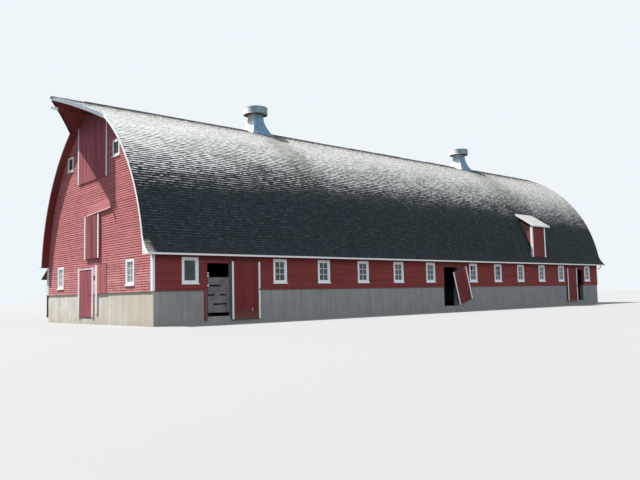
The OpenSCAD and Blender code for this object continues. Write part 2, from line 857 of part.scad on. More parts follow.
// Outline of one side: an upright skirt, a slightly hollow slope, then the upright neck
module vent_side(low) {
    skirt = ridge_height - 200;
    top = ridge_height + vent_rise;
    hollow_r = 2000;
    run = (vent_foot - vent_neck) / 2;
    rise = top - skirt;
    chord = sqrt(run * run + rise * rise);
    reach = sqrt(hollow_r * hollow_r - chord * chord / 4);
    middle = [(vent_foot + vent_neck) / 4, (skirt + top) / 2];
    neck_top = ridge_height + vent_rim + drum_recess;
    difference() {
        translate([-vent_foot / 2, low]) square([vent_foot, neck_top - low]);
        for (side = [0, 1]) mirror([side, 0]) {
            intersection() {
                translate([middle[0] + reach * rise / chord, middle[1] + reach * run / chord])
                    circle(hollow_r);
                translate([0, skirt]) square([vent_foot, top - skirt]);
            }
            translate([vent_neck / 2, top]) square([vent_foot, vent_foot]);
        }
    }
}
module ventilator_feet() {
    color("silver") for (x = vent_x) translate([x, 0, 0]) vent_foot_shape();
}
// Drum open below, with a bead at each rim and a low conical lid
module ventilator_drums() {
    r = vent_drum / 2;
    wall = 35;
    bead = 12;
    h = 390;
    lid = 60;
    color("silver") for (x = vent_x) translate([x, 0, ridge_height + vent_rim]) rotate_extrude() polygon([
        [0, drum_recess], [r - wall, drum_recess], [r - wall, 0], [r, 0], [r + bead, bead], [r, 2 * bead],
        [r, h - 2 * bead], [r + bead, h - bead], [r, h], [0, h + lid]
    ]);
}
// Spout under the far end of the front eave, bent back towards the wall by an elbow with
// a thicker wall
module eave_outlet() {
    r = 38;
    elbow_r = 42;
    bore_r = 32;
    bend_r = 110;
    bend = 60;
    drop = 80;
    tail = 190;
    y = -eave_y + 60;
    end_y = y + bend_r * (1 - cos(bend));
    end_z = soffit_height - drop - bend_r * sin(bend);
    color("white") translate([half_l + 40, 0, 0]) difference() {
        union() {
            translate([0, y, soffit_height - drop - 5]) cylinder(r = r, h = drop + 5);
            translate([0, y + bend_r, soffit_height - drop]) rotate([-90, 0, -90])
                rotate_extrude(angle = bend) translate([bend_r, 0]) circle(elbow_r);
            translate([0, end_y, end_z]) rotate([bend - 180, 0, 0]) translate([0, 0, -5])
                cylinder(r = r, h = tail);
        }
        translate([0, end_y, end_z]) rotate([bend - 180, 0, 0]) translate([0, 0, 20])
            cylinder(r = bore_r, h = tail);
    }
}

floor_slab();
side_bases();
end_bases();
front_wall();
front_headers();
rear_wall();
near_gable_lower();
near_gable();
far_gable();
loft_floor();
loft_joists();
front_roof();
rear_roof();
hay_hood();
hood_fascia();
hay_track();
ridge_cap();
rake_boards();
eave_boards();
corner_boards();
window_frames();
window_glass();
near_door();
near_door_edges();
middle_door();
end_door();
end_door_edges();
fixed_door_edges();
door_tracks();
door_posts();
stable_gate();
hinge_pins();
walk_door();
walk_door_casing();
board_panel();
loft_door();
door_hoods();
hay_door();
dormer_cheeks();
dormer_roof();
dormer_door();
ventilator_feet();
ventilator_drums();
rear_door();
eave_outlet();
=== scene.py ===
import math
import random
import bmesh
import bpy
from mathutils import Matrix, Vector


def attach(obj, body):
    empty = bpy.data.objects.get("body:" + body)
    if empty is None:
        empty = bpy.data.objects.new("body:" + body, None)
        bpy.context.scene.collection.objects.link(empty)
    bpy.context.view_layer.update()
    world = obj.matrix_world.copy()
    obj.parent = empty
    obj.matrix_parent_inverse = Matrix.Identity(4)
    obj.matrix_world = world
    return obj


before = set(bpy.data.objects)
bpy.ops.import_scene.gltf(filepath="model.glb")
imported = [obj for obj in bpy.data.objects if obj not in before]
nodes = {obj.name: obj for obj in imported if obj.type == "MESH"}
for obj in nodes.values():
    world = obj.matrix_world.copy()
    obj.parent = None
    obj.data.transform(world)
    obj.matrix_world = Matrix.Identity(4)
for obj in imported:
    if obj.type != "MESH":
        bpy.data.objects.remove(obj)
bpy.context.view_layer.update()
scene = bpy.context.scene
halfLength = 18.5
halfWidth = 5.8
loftFrom = 4.0  # what stands higher belongs to the loft
hair = 0.001  # what is nearer than this counts as in the same place
leastCourse = 0.02  # no course is laid that would be lower

# Roof profile on one side, as the CAD draws it: bent rafters, then the flare of the eaves
roof = {
    "radius": 8.77, "past": 2.93, "centreZ": 2.05, "shell": 0.1,
    "flareRadius": 1.45, "flareTop": 3.75, "flareEnd": 50.0,
    "nearEdge": -18.87, "farEdge": 19.1, "hoodTip": -20.45, "hoodHalf": 1.9, "hoodBlunt": 0.04,
    "vents": (-9.12, 9.62), "ventHalf": 0.67,
}
flareStart = math.asin((roof["flareTop"] - roof["centreZ"]) / roof["radius"])
bendSum = roof["radius"] + roof["flareRadius"]
flareY = -roof["past"] + bendSum * math.cos(flareStart)
flareZ = roof["centreZ"] + bendSum * math.sin(flareStart)
ridgeTurn = math.acos(roof["past"] / roof["radius"])
flareLength = roof["flareRadius"] * (math.radians(roof["flareEnd"]) - flareStart)
slopeLength = flareLength + roof["radius"] * (ridgeTurn - flareStart)


def roofPoint(along):
    # half width, height and outward normal at a distance up the slope from the eave
    if along < flareLength:
        turn = math.radians(roof["flareEnd"]) - along / roof["flareRadius"]
        radius, y, z = -roof["flareRadius"], flareY, flareZ
    else:
        turn = flareStart + (along - flareLength) / roof["radius"]
        radius, y, z = roof["radius"], -roof["past"], roof["centreZ"]
    out = (math.cos(turn), math.sin(turn))
    return (y + radius * out[0], z + radius * out[1], out)


def archHalf(z, inset):
    # half width of the arch at a height, so far inside the roof's outer face
    rise = z - roof["centreZ"]
    return math.sqrt(max((roof["radius"] - inset) ** 2 - rise ** 2, 0.0)) - roof["past"]


# Node helpers: a socket takes another node's output, a number or a colour
def connect(node, links):
    for key, value in links.items():
        socket = node.inputs[key]
        if isinstance(value, bpy.types.NodeSocket):
            node.id_data.links.new(value, socket)
        else:
            socket.default_value = (*value, 1.0) if socket.type == "RGBA" else value
    return node


def put(kind, links, tree=None, **settings):
    # the new node goes where the first socket it is linked to belongs, or into a tree
    if not tree:
        tree = next(value.id_data for value in links.values() if isinstance(value, bpy.types.NodeSocket))
    node = tree.nodes.new("ShaderNode" + kind)
    for key, value in settings.items():
        setattr(node, key, value)
    return connect(node, links)


def maths(operation):
    # a step that works through its values from left to right
    def step(first, *others):
        for other in others or (0.0,):
            first = put("Math", {0: first, 1: other}, operation=operation).outputs[0]
        return first
    return step


plus, minus, times, divided = maths("ADD"), maths("SUBTRACT"), maths("MULTIPLY"), maths("DIVIDE")
absolute, fraction, whole, root = maths("ABSOLUTE"), maths("FRACT"), maths("FLOOR"), maths("SQRT")
smaller, larger = maths("MINIMUM"), maths("MAXIMUM")
below, above = maths("LESS_THAN"), maths("GREATER_THAN")


def away(value, place):
    return absolute(minus(value, place))


def remap(value, low, high, toLow=0.0, toHigh=1.0):
    return put("MapRange", {0: value, 1: low, 2: high, 3: toLow, 4: toHigh}).outputs[0]


def mix(mask, under, over, way="MIX"):
    return put("Mix", {0: mask, 6: under, 7: over}, data_type="RGBA", blend_type=way).outputs[2]


def layers(colour, *coats):
    # coats are pairs of a mask and a colour, laid one over the other
    for mask, coat in coats:
        colour = mix(mask, colour, coat)
    return colour


def stretched(vector, amounts):
    return put("VectorMath", {0: vector, 1: amounts}, operation="MULTIPLY").outputs[0]


def noise(vector, scale, detail=4.0, rough=0.55, twist=0.0):
    # three scales instead of one draw the pattern out along an axis
    if isinstance(scale, tuple):
        vector, scale = stretched(vector, scale), 1.0
    return put("TexNoise", {"Vector": vector, "Scale": scale, "Detail": detail, "Roughness": rough,
                            "Distortion": twist}).outputs["Fac"]


def split(vector):
    return put("SeparateXYZ", {0: vector}).outputs


def facing(where):
    # the three parts of the direction in which the surface faces
    return split(put("NewGeometry", {}, where.id_data).outputs["Normal"])


def attribute(where, name):
    return put("Attribute", {}, where.id_data, attribute_name=name).outputs["Fac"]


def eachCell(cells):
    # one random value for each whole step
    return put("TexWhiteNoise", {"W": whole(cells)}, noise_dimensions="1D").outputs[0]


def jointLines(along, width, start=0.46):
    # thin lines between boards or sheets of one width
    return remap(away(fraction(divided(along, width)), 0.5), start, 0.5)


# Effects that several materials share
def newGroup(name, inputs, outputs):
    # the first input is the place, each other one has its usual value
    tree = bpy.data.node_groups.new(name, "ShaderNodeTree")
    tree.interface.new_socket(name="Vector", in_out="INPUT", socket_type="NodeSocketVector")
    for label, value in inputs.items():
        kind = "NodeSocketVector" if isinstance(value, tuple) else "NodeSocketFloat"
        tree.interface.new_socket(name=label, in_out="INPUT", socket_type=kind).default_value = value
    for label in outputs:
        tree.interface.new_socket(name=label, in_out="OUTPUT", socket_type="NodeSocketFloat")
    return tree, tree.nodes.new("NodeGroupInput").outputs, tree.nodes.new("NodeGroupOutput").inputs


def makeGrain():
    # fibres drawn out along one axis by the stretch
    tree, start, end = newGroup("timberGrain", {"Stretch": (4, 60, 60)}, ["Fibre"])
    drawn = stretched(start[0], start[1])
    coarse = noise(drawn, 1.0, 5.0, 0.6, 0.4)
    fine = noise(drawn, 3.1, 4.0, 0.7)
    tree.links.new(plus(times(coarse, 0.6), times(fine, 0.4)), end[0])
    return tree


def makeWear():
    # where the paint has gone: patches broken up by the grain
    tree, start, end = newGroup("paintWear", {"Grain": 0.5, "Amount": 0.3}, ["Bare", "Faded"])
    broad = times(noise(start[0], 0.7, 3.0), 0.35)
    flecks = times(noise(start[0], 17.0, 4.0, 0.7), 0.35)
    mixed = plus(flecks, times(start[1], 0.3), broad)
    edge = minus(0.72, times(start[2], 0.3))
    tree.links.new(remap(minus(mixed, edge), -0.02, 0.05), end[0])
    tree.links.new(remap(mixed, 0.35, 0.65), end[1])
    return tree


def makeStreaks():
    # stains that rain has drawn down a wall
    tree, start, end = newGroup("rainStreaks", {"Across": 6.0, "Down": 0.5}, ["Streak"])
    spread = put("CombineXYZ", {0: start[1], 1: start[1], 2: start[2]}).outputs[0]
    drawn = noise(stretched(start[0], spread), 1.0, 5.0, 0.6)
    tree.links.new(remap(drawn, 0.42, 0.72), end[0])
    return tree


def makeFoot():
    # splashed dirt that thins out upwards from one height to another
    tree, start, end = newGroup("footDirt", {"Low": 0.0, "High": 0.6}, ["Dirt"])
    ragged = plus(split(start[0])[2], times(noise(start[0], 3.0), 0.35))
    tree.links.new(remap(ragged, start[1], start[2], 1.0, 0.0), end[0])
    return tree


grainGroup, wearGroup, streakGroup, footGroup = makeGrain(), makeWear(), makeStreaks(), makeFoot()


def effect(group, *values):
    return put("Group", dict(enumerate(values)), node_tree=group).outputs


finishes = {}


def startMaterial(name):
    # the material goes into the finishes, and the place on the piece comes back
    material = bpy.data.materials.new(name)
    material.use_nodes = True
    finishes[name] = material
    return put("TexCoord", {}, material.node_tree).outputs["Object"]


def finishMaterial(colour, rough, height, distance, strength=0.6, others=None):
    bump = put("Bump", {"Height": height, "Distance": distance, "Strength": strength})
    connect(colour.id_data.nodes["Principled BSDF"], {"Base Color": colour, "Roughness": rough,
                                                      "Normal": bump.outputs[0], **(others or {})})


# Painted timber: siding, doors and trim differ only in these values
usualPaint = {"stretch": (60, 60, 2.5), "wear": 0.35, "dirt": (0.1, 0.75), "rough": 0.85,
              "earth": (0.2, 0.16, 0.13)}
paintLooks = {
    # the gable's siding and planks are paler than the front's, partly from sun fading and partly as painted
    # light of the sunlit gable against the shaded front
    "sidingFront": {"paint": (0.232, 0.037, 0.035), "faded": (0.28, 0.056, 0.053), "bare": (0.21, 0.12, 0.11),
                    "stretch": (3, 70, 70), "wear": 0.15, "dirt": (1.35, 1.6), "lap": 0.6, "rough": 0.8},
    "sidingGable": {"paint": (0.51, 0.136, 0.145), "faded": (0.62, 0.235, 0.24), "bare": (0.42, 0.27, 0.25),
                    "stretch": (70, 3, 70), "wear": 0.25, "dirt": (1.3, 1.5), "lap": 0.9,
                    "chalk": (0.7, 0.31, 0.315), "chalkFade": (3.3, 1.9),
                    "patch": ((-0.31, 1.0), (-0.05, 2.62), (0.68, 0.52, 0.6))},
    # the dormer cheeks are painted near black as painted shade of the dormer roof's overhang; their patch is
    # a painted patch of sunlight
    "cheekPaint": {"paint": (0.042, 0.014, 0.017), "faded": (0.07, 0.022, 0.025), "bare": (0.07, 0.05, 0.05),
                   "stretch": (70, 3, 70), "wear": 0.3, "dirt": (0.0, 0.1), "lap": 0.6,
                   "patch": ((-5.79, 4.3), (-5.5, 5.12), (0.27, 0.065, 0.068))},
    "planksDark": {"paint": (0.17, 0.0225, 0.023), "faded": (0.212, 0.036, 0.037), "bare": (0.18, 0.1, 0.09),
                   "wear": 0.22, "rough": 0.75},
    "planksFaded": {"paint": (0.405, 0.093, 0.114), "faded": (0.53, 0.17, 0.197), "bare": (0.38, 0.25, 0.23),
                    "streaks": 0.5, "paintedShadeUnderHood": (8.7, 10.0)},
    "planksLoft": {"paint": (0.31, 0.071, 0.088), "faded": (0.41, 0.13, 0.152), "bare": (0.32, 0.21, 0.19),
                   "streaks": 0.6},
    "planksPanel": {"paint": (0.53, 0.138, 0.146), "faded": (0.64, 0.235, 0.24), "bare": (0.5, 0.38, 0.36),
                    "wear": 0.45, "dirt": (1.3, 1.6), "streaks": 0.4},
    "whiteTrim": {"paint": (0.9, 0.9, 0.89), "faded": (0.84, 0.85, 0.85), "bare": (0.5, 0.47, 0.43),
                  "stretch": (12, 12, 12), "wear": 0.12, "dirt": (0.0, 0.3), "rough": 0.6},
    "eaveTrim": {"paint": (0.95, 0.9, 0.88), "faded": (0.86, 0.8, 0.78), "bare": (0.55, 0.5, 0.46),
                 "stretch": (3, 30, 30), "wear": 0.3, "dirt": (0.0, 0.1), "rough": 0.7},
    "wornTrim": {"paint": (0.86, 0.74, 0.76), "faded": (0.78, 0.62, 0.65), "bare": (0.5, 0.3, 0.29),
                 "stretch": (40, 40, 4), "wear": 0.5, "dirt": (0.1, 0.9), "rough": 0.7},
    "greyedTrim": {"paint": (0.1, 0.1, 0.085), "faded": (0.15, 0.15, 0.13), "bare": (0.07, 0.07, 0.06),
                   "stretch": (12, 12, 12), "wear": 0.5, "dirt": (0.0, 0.3)},
    "paleFascia": {"paint": (0.8, 0.84, 0.88), "faded": (0.66, 0.72, 0.78), "bare": (0.36, 0.36, 0.35),
                   "stretch": (6, 6, 40), "wear": 0.45, "dirt": (0.0, 0.1), "rough": 0.8,
                   "inside": (0.03, 0.024, 0.026)},
}
paintLooks["frameTrim"] = {**paintLooks["whiteTrim"], "wear": 0.18, "sash": (0.05, 0.06, 0.065)}
lapBoards = {"foot": 1.41, "exposure": 0.104}


def paintedTimber(name, own):
    look = {**usualPaint, **own}
    where = startMaterial(name)
    x, y, z = split(where)
    grain = effect(grainGroup, where, look["stretch"])[0]
    bare, faded = effect(wearGroup, where, grain, look["wear"])
    streak = effect(streakGroup, where, 5.0, 0.35)[0]
    dirt = effect(footGroup, where, *look["dirt"])[0]
    colour = layers(look["paint"], (faded, look["faded"]), (times(streak, 0.25), look["faded"]))
    if "chalk" in look:
        # the lowest boards are paler in blotches, more so towards the bottom
        blotch = remap(noise(where, 2.2, 5.0, 0.65), 0.35, 0.62)
        low = times(blotch, remap(z, *look["chalkFade"], 0.0, 0.9))
        colour = mix(low, colour, look["chalk"])
    if "patch" in look:
        # a stretch between two corners in another colour, with ragged edges: other paint beside the walk
        # door, a painted patch of sunlight on the dormer cheeks
        (left, low), (right, high), other = look["patch"]
        ragged = remap(noise(where, 14.0, 3.0, 0.6), 0.0, 1.0, -0.06, 0.06)
        across = minus((right - left) / 2, away(y, (left + right) / 2))
        along = minus((high - low) / 2, away(z, (low + high) / 2))
        within = remap(plus(smaller(across, along), ragged), -0.01, 0.02)
        # none of it on the far gable
        within = times(within, below(x, halfLength - 2.5))
        colour = mix(within, colour, other)
    colour = mix(times(bare, 0.85), colour, look["bare"])
    shade = remap(attribute(where, "tone"), 0.0, 1.0, 1.0, 0.82)
    if "streaks" in look:
        # upright streaks of weather along the planks
        drawn = noise(where, (9, 9, 0.3), 4.0, 0.65)
        shade = times(shade, remap(drawn, 0.36, 0.62, 1.0 - look["streaks"], 1.0))
    if "paintedShadeUnderHood" in look:
        # painted shade under the hood, darker towards the top
        shade = times(shade, remap(z, *look["paintedShadeUnderHood"], 1.0, 0.72))
    if "lap" in look:
        # painted shade in the corner under each butt, stronger on some courses than on others
        course = divided(minus(z, lapBoards["foot"]), lapBoards["exposure"])
        under = remap(fraction(course), 0.58, 0.84)
        each = remap(eachCell(course), 0.0, 1.0, 0.55, 1.0)
        uneven = remap(noise(where, (1.6, 1.6, 7.0), 4.0, 0.7), 0.34, 0.6, 0.15, 1.0)
        shade = times(shade, minus(1.0, times(uneven, each, under, look["lap"])))
    shadeColour = put("CombineColor", {0: shade, 1: shade, 2: shade}).outputs[0]
    colour = mix(1.0, colour, shadeColour, "MULTIPLY")
    colour = mix(times(dirt, 0.5), colour, look["earth"])
    if "sash" in look:
        # the loft sashes, which stand in from the wall's face, are darkened nearly to black, painted shade of
        # the recess
        inward = below(absolute(x), halfLength - 0.005)
        colour = mix(times(inward, above(z, loftFrom)), colour, look["sash"])
    if "inside" in look:
        # painted shade: dark on the faces turned to the building or down
        turned = facing(where)
        hidden = larger(above(turned[0], 0.3), below(turned[2], -0.25))
        colour = mix(hidden, colour, look["inside"])
    rough = remap(bare, 0.0, 1.0, look["rough"], 0.95)
    relief = minus(grain, times(bare, 0.6))
    finishMaterial(colour, rough, relief, 0.004, others={"Specular IOR Level": 0.25})


def castConcrete():
    # painted light: the sunlit gable ends are painted pale, the shaded long sides grey and streaked
    look = {"pale": (0.8, 0.765, 0.69), "warm": (0.6, 0.53, 0.425), "warmTo": (1.0, -5.8),
            "grey": (0.365, 0.352, 0.325), "mid": (0.29, 0.285, 0.27), "far": (0.225, 0.235, 0.245),
            "farTo": (-16.0, 16.0), "stain": (0.16, 0.16, 0.16), "earth": (0.3, 0.27, 0.21), "board": 0.16}
    where = startMaterial("castConcrete")
    x, y = split(where)[:2]
    atEnd = remap(absolute(x), halfLength - 0.08, halfLength - 0.035)
    along = plus(x, y)
    mark = eachCell(divided(along, look["board"]))
    joint = jointLines(along, look["board"])
    streak = effect(streakGroup, where, 7.0, 0.5)[0]
    dirt = effect(footGroup, where, 0.0, 0.5)[0]
    patch = remap(noise(where, 1.1, 6.0, 0.65), 0.35, 0.65)
    pits = noise(where, 45.0, 4.0, 0.7)
    sides = mix(patch, look["grey"], look["mid"])
    sides = mix(remap(x, *look["farTo"], 0.0, 0.75), sides, look["far"])
    ends = mix(patch, look["pale"], look["warm"])
    ends = mix(remap(y, *look["warmTo"], 0.0, 0.95), ends, look["warm"])
    wash = remap(atEnd, 0.0, 1.0, 0.42, 0.12)
    colour = layers(sides, (atEnd, ends), (times(mark, 0.22), look["mid"]),
                    (times(streak, wash), look["stain"]), (times(joint, wash), look["stain"]),
                    (times(dirt, 0.35), look["earth"]))
    height = minus(plus(times(mark, 0.3), times(pits, 0.35)), times(joint, 0.5))
    finishMaterial(colour, 0.92, height, 0.012)


def shingleWood():
    # painted light and shade: dark low on the slope, which lies in shade; higher up each course is painted
    # pale as sunlit as far as the shadow line of the next butt
    look = {"dark": (0.011, 0.018, 0.021), "mid": (0.026, 0.037, 0.042), "moss": (0.018, 0.03, 0.028),
            "pale": (0.93, 0.925, 0.9), "grey": (0.7, 0.69, 0.66), "dull": (0.36, 0.345, 0.32),
            "dullTo": (-16.0, 14.0), "split": (0.025, 0.028, 0.03), "lichen": (0.6, 0.58, 0.46),
            "silver": (0.3, 0.29, 0.275), "crown": (9.9, 10.2), "rear": (0.2, 1.2),
            "sky": (0.5, 0.6, 0.68), "skyTo": (-17.0, 2.0), "olive": (0.34, 0.345, 0.275),
            "runs": ((-9.0, 1.3), (10.2, 2.0)), "cornerX": (-18.5, -18.72), "cornerZ": (3.5, 3.38),
            "turn": (5.4, 9.3), "reach": (-0.06, 0.84), "middle": -1.5, "middleTo": (11.0, 15.5)}
    where = startMaterial("shingleWood")
    x, y, z = split(where)
    tone, up = attribute(where, "tone"), attribute(where, "up")
    patchy = noise(where, (0.5, 1.6, 0.9), 6.0, 0.65)
    broad = noise(where, (0.5, 1.6, 0.9), 2.0, 0.5)
    grains = noise(where, (6.0, 9.0, 9.0), 3.0, 0.7)
    # the painted sunlit zone starts half a metre higher in the middle of the barn's length than at its ends
    inner = remap(away(x, look["middle"]), *look["middleTo"], 0.62, 0.0)
    height = minus(plus(z, remap(broad, 0.3, 0.7, -0.26, 0.26)), inner)
    reach = remap(height, *look["turn"], *look["reach"])
    jitter = plus(remap(tone, 0.0, 1.0, -0.15, 0.15), remap(grains, 0.25, 0.75, -0.14, 0.14))
    spread = times(jitter, remap(reach, 0.0, 0.2, 0.3, 1.0))
    lit = remap(minus(plus(reach, spread), up), -0.07, 0.07)
    # some butt edges catch the sky, more of them towards the near end and its broken lower corner
    rim = times(remap(up, 0.16, 0.02), remap(grains, 0.4, 0.62, 0.25, 1.0))
    speck = times(rim, remap(x, *look["skyTo"], 0.24, 0.08))
    corner = times(remap(x, *look["cornerX"]), remap(z, *look["cornerZ"]))
    low = layers(look["dark"], (tone, look["mid"]),
                 (times(remap(patchy, 0.5, 0.7), 0.5), look["moss"]), (speck, look["sky"]),
                 (times(corner, remap(grains, 0.38, 0.6, 0.0, 0.7)), look["lichen"]))
    # olive stains run down below the two ventilators
    runs = [remap(away(x, at), half, half * 0.4) for at, half in look["runs"]]
    stain = times(larger(*runs), remap(patchy, 0.35, 0.6, 0.3, 0.75))
    blotch = remap(noise(where, 0.8, 5.0, 0.7), 0.48, 0.68, 0.0, 0.45)
    # the painted sunlit colour is toned down: duller towards the far end, where more course shadow falls, and
    # a deeper silver on the crown of the roof and the sunny rear slope
    high = layers(look["pale"], (remap(grains, 0.3, 0.7), look["grey"]), (blotch, look["lichen"]),
                  (remap(x, *look["dullTo"], 0.0, 0.42), look["dull"]), (stain, look["olive"]),
                  (remap(z, *look["crown"], 0.0, 0.6), look["silver"]),
                  (remap(y, *look["rear"], 0.0, 0.75), look["silver"]))
    fibre = noise(where, (90, 14, 14), 4.0, 0.65)
    # painted shade: the butt faces, and the upper part of each shingle under the next butt
    butt = times(remap(tone, -0.6, -0.4, 1.0, 0.0), 0.85)
    under = times(remap(up, 0.6, 0.76), 0.7)
    colour = layers(low, (lit, high), (times(remap(fibre, 0.45, 0.75), 0.25), look["split"]),
                    (larger(butt, under), look["split"]))
    finishMaterial(colour, 0.9, fibre, 0.004, others={"Specular IOR Level": 0.3})


def paleRoofing():
    # grey rolled roofing of the dormer with its laps across the fall, white boards on its edges
    look = {"pale": (0.5, 0.5, 0.48), "dull": (0.34, 0.34, 0.33), "seam": (0.2, 0.19, 0.18), "lap": 0.3,
            "edge": (0.86, 0.86, 0.84), "wornEdge": (0.74, 0.74, 0.72)}
    where = startMaterial("paleRoofing")
    line = jointLines(split(where)[1], look["lap"], 0.44)
    grit = noise(where, 160.0, 3.0, 0.7)
    broad = noise(where, 3.3, 6.0, 0.7)
    edge = mix(remap(broad, 0.4, 0.7), look["edge"], look["wornEdge"])
    colour = layers(look["pale"], (remap(broad, 0.4, 0.62), look["dull"]),
                    (times(line, 0.6), look["seam"]),
                    (below(absolute(facing(where)[2]), 0.5), edge))
    finishMaterial(colour, 0.9, plus(grit, line), 0.003)


def bareTimber():
    look = {"silver": (0.22, 0.205, 0.21), "brown": (0.135, 0.118, 0.108), "split": (0.04, 0.035, 0.03)}
    where = startMaterial("bareTimber")
    grain = effect(grainGroup, where, (4, 50, 50))[0]
    broad = noise(where, 2.0, 5.0)
    colour = layers(look["silver"], (remap(broad, 0.35, 0.7), look["brown"]),
                    (remap(grain, 0.55, 0.75), look["split"]))
    finishMaterial(colour, 0.9, grain, 0.004)


def sheetSteel():
    # pale where the sun reaches; faces turned to the shaded front are painted a darker, mottled blue-grey as
    # painted shade; rusty inside the drums
    look = {"zinc": (0.86, 0.87, 0.86), "dull": (0.66, 0.7, 0.72), "rust": (0.26, 0.16, 0.09),
            "shaded": (0.115, 0.25, 0.4), "drum": (0.15, 0.235, 0.26), "deep": (0.045, 0.1, 0.14),
            "neck": (0.17, 0.24, 0.3), "neckTo": (10.72, 10.95), "inside": (0.16, 0.12, 0.07),
            "rim": 11.3, "lid": 11.45, "radius": 0.66}
    where = startMaterial("sheetSteel")
    x, y, z = split(where)
    spangle = put("TexVoronoi", {"Vector": where, "Scale": 55.0}).outputs["Color"]
    flake = put("SeparateColor", {0: spangle}).outputs[0]
    streak = effect(streakGroup, where, 9.0, 1.4)[0]
    rust = remap(noise(where, 4.0, 6.0, 0.7), 0.62, 0.74)
    overRim = above(z, look["rim"])
    blotch = remap(noise(where, (5.0, 5.0, 3.0), 5.0, 0.65), 0.42, 0.66, 0.0, 0.6)
    dark = layers(look["shaded"], (overRim, look["drum"]), (blotch, look["deep"]))
    # painted shadow of the drum: the top of each foot darkens towards the rim
    neck = times(remap(z, *look["neckTo"], 0.0, 0.75), minus(1.0, overRim))
    # inside a drum is near its axis, between the rim and the lid
    off = smaller(*[away(x, at) for at in roof["vents"]])
    reach = root(plus(times(off, off), times(y, y)))
    inside = times(overRim, below(z, look["lid"]), below(reach, look["radius"]))
    colour = layers(look["zinc"], (times(flake, 0.3), look["dull"]), (neck, look["neck"]),
                    (remap(facing(where)[1], -0.15, -0.6), dark),
                    (times(streak, 0.25), look["dull"]), (times(rust, 0.35), look["rust"]),
                    (inside, mix(rust, look["inside"], look["rust"])))
    rough = remap(rust, 0.0, 1.0, 0.55, 0.85)
    finishMaterial(colour, rough, spangle, 0.001, others={"Metallic": 0.15})


def rustySteel():
    look = {"rust": (0.11, 0.05, 0.04), "dark": (0.045, 0.026, 0.026), "scale": (0.25, 0.12, 0.08)}
    where = startMaterial("rustySteel")
    scale = noise(where, 30.0, 6.0, 0.7)
    broad = noise(where, 3.0, 4.0)
    colour = layers(look["rust"], (remap(broad, 0.35, 0.65), look["dark"]),
                    (times(scale, 0.4), look["scale"]))
    rough = remap(scale, 0.3, 0.7, 0.7, 0.95)
    finishMaterial(colour, rough, scale, 0.002, others={"Metallic": 0.3})


def oldGlass():
    # grimy on the long sides, with a painted sky reflection that grows towards the far end; the panes low in
    # the gables carry a painted pale sky reflection, and the loft panes are painted nearly black as painted
    # shade of the dark loft
    look = {"clear": (0.02, 0.036, 0.033), "grime": (0.09, 0.12, 0.116), "far": (0.17, 0.21, 0.255),
            "farTo": (-14.0, 14.0), "chalky": (0.29, 0.35, 0.36), "paintedPaleReflection": (0.5, 0.52, 0.6),
            "paintedPaleReflectionTo": (-4.0, 4.0), "loft": (0.012, 0.018, 0.024)}
    where = startMaterial("oldGlass")
    x, y, z = split(where)
    ripple = noise(where, (3, 3, 9), 3.0)
    grime = remap(noise(where, 5.0, 5.0), 0.45, 0.8)
    ends = layers(look["chalky"], (remap(y, *look["paintedPaleReflectionTo"]), look["paintedPaleReflection"]),
                  (above(z, loftFrom), look["loft"]))
    colour = layers(look["clear"], (grime, look["grime"]),
                    (remap(x, *look["farTo"], 0.0, 0.55), look["far"]),
                    (above(absolute(x), halfLength - 0.3), ends))
    rough = remap(grime, 0.0, 1.0, 0.06, 0.3)
    finishMaterial(colour, rough, ripple, 0.01, 0.3, {"Transmission Weight": 0.15, "IOR": 1.5})


def shadowTimber():
    # old wood so deep in a hole that hardly any light comes back
    look = {"dark": (0.006, 0.006, 0.007), "light": (0.02, 0.018, 0.017)}
    where = startMaterial("shadowTimber")
    grain = effect(grainGroup, where, (4, 50, 50))[0]
    finishMaterial(mix(grain, look["dark"], look["light"]), 0.95, grain, 0.004)


def roofShell():
    # bare inside, red under the overhangs, a darker red towards their low ends
    look = {"bare": ((0.26, 0.2, 0.14), (0.38, 0.31, 0.23)),
            "red": ((0.19, 0.034, 0.034), (0.24, 0.052, 0.05)), "deep": (0.135, 0.01, 0.009),
            "deepTo": (8.2, 6.4), "gap": (0.04, 0.03, 0.03), "edge": (0.62, 0.64, 0.64), "plank": 0.14}
    where = startMaterial("roofShell")
    x, y, z = split(where)
    past = minus(absolute(x), halfLength)
    wide = minus(absolute(y), halfWidth)
    outside = remap(larger(past, wide), -0.005, 0.005)
    gap = jointLines(z, look["plank"])
    grain = effect(grainGroup, where, (4, 60, 60))[0]
    under = mix(grain, *look["red"])
    under = mix(remap(z, *look["deepTo"], 0.0, 0.8), under, look["deep"])
    edge = times(below(x, roof["nearEdge"] - 0.01), above(facing(where)[2], -0.15))
    colour = layers(mix(grain, *look["bare"]), (outside, under), (times(gap, 0.7), look["gap"]),
                    (edge, look["edge"]))
    finishMaterial(colour, 0.9, minus(grain, gap), 0.004)


# Paint that changes at a place along one axis
splitLooks = {
    "postPaint": {"axis": 0, "from": -15.5, "low": (0.17, 0.025, 0.027), "high": (0.3, 0.32, 0.34),
                  "faded": (0.36, 0.2, 0.2), "stretch": (60, 60, 2.5)},
    "trackPaint": {"axis": 0, "from": -20.2, "low": (0.93, 0.95, 0.97), "high": (0.2, 0.038, 0.038),
                   "faded": (0.3, 0.12, 0.11), "stretch": (3, 60, 60)},
    # past y 5.0 the rear hood is painted dark all over as painted shade of its underside
    "hoodPaint": {"axis": 1, "from": 5.0, "low": (0.5, 0.145, 0.152), "high": (0.07, 0.03, 0.035),
                  "faded": (0.4, 0.16, 0.16), "stretch": (60, 3, 60)},
    # below y 0.06 the front of the ridge roll is painted darker as painted shade
    "capPaint": {"axis": 1, "from": 0.06, "low": (0.03, 0.042, 0.048), "high": (0.16, 0.17, 0.175),
                 "faded": (0.1, 0.12, 0.13), "stretch": (1.2, 20, 20)},
}
splitBare = (0.28, 0.22, 0.2)


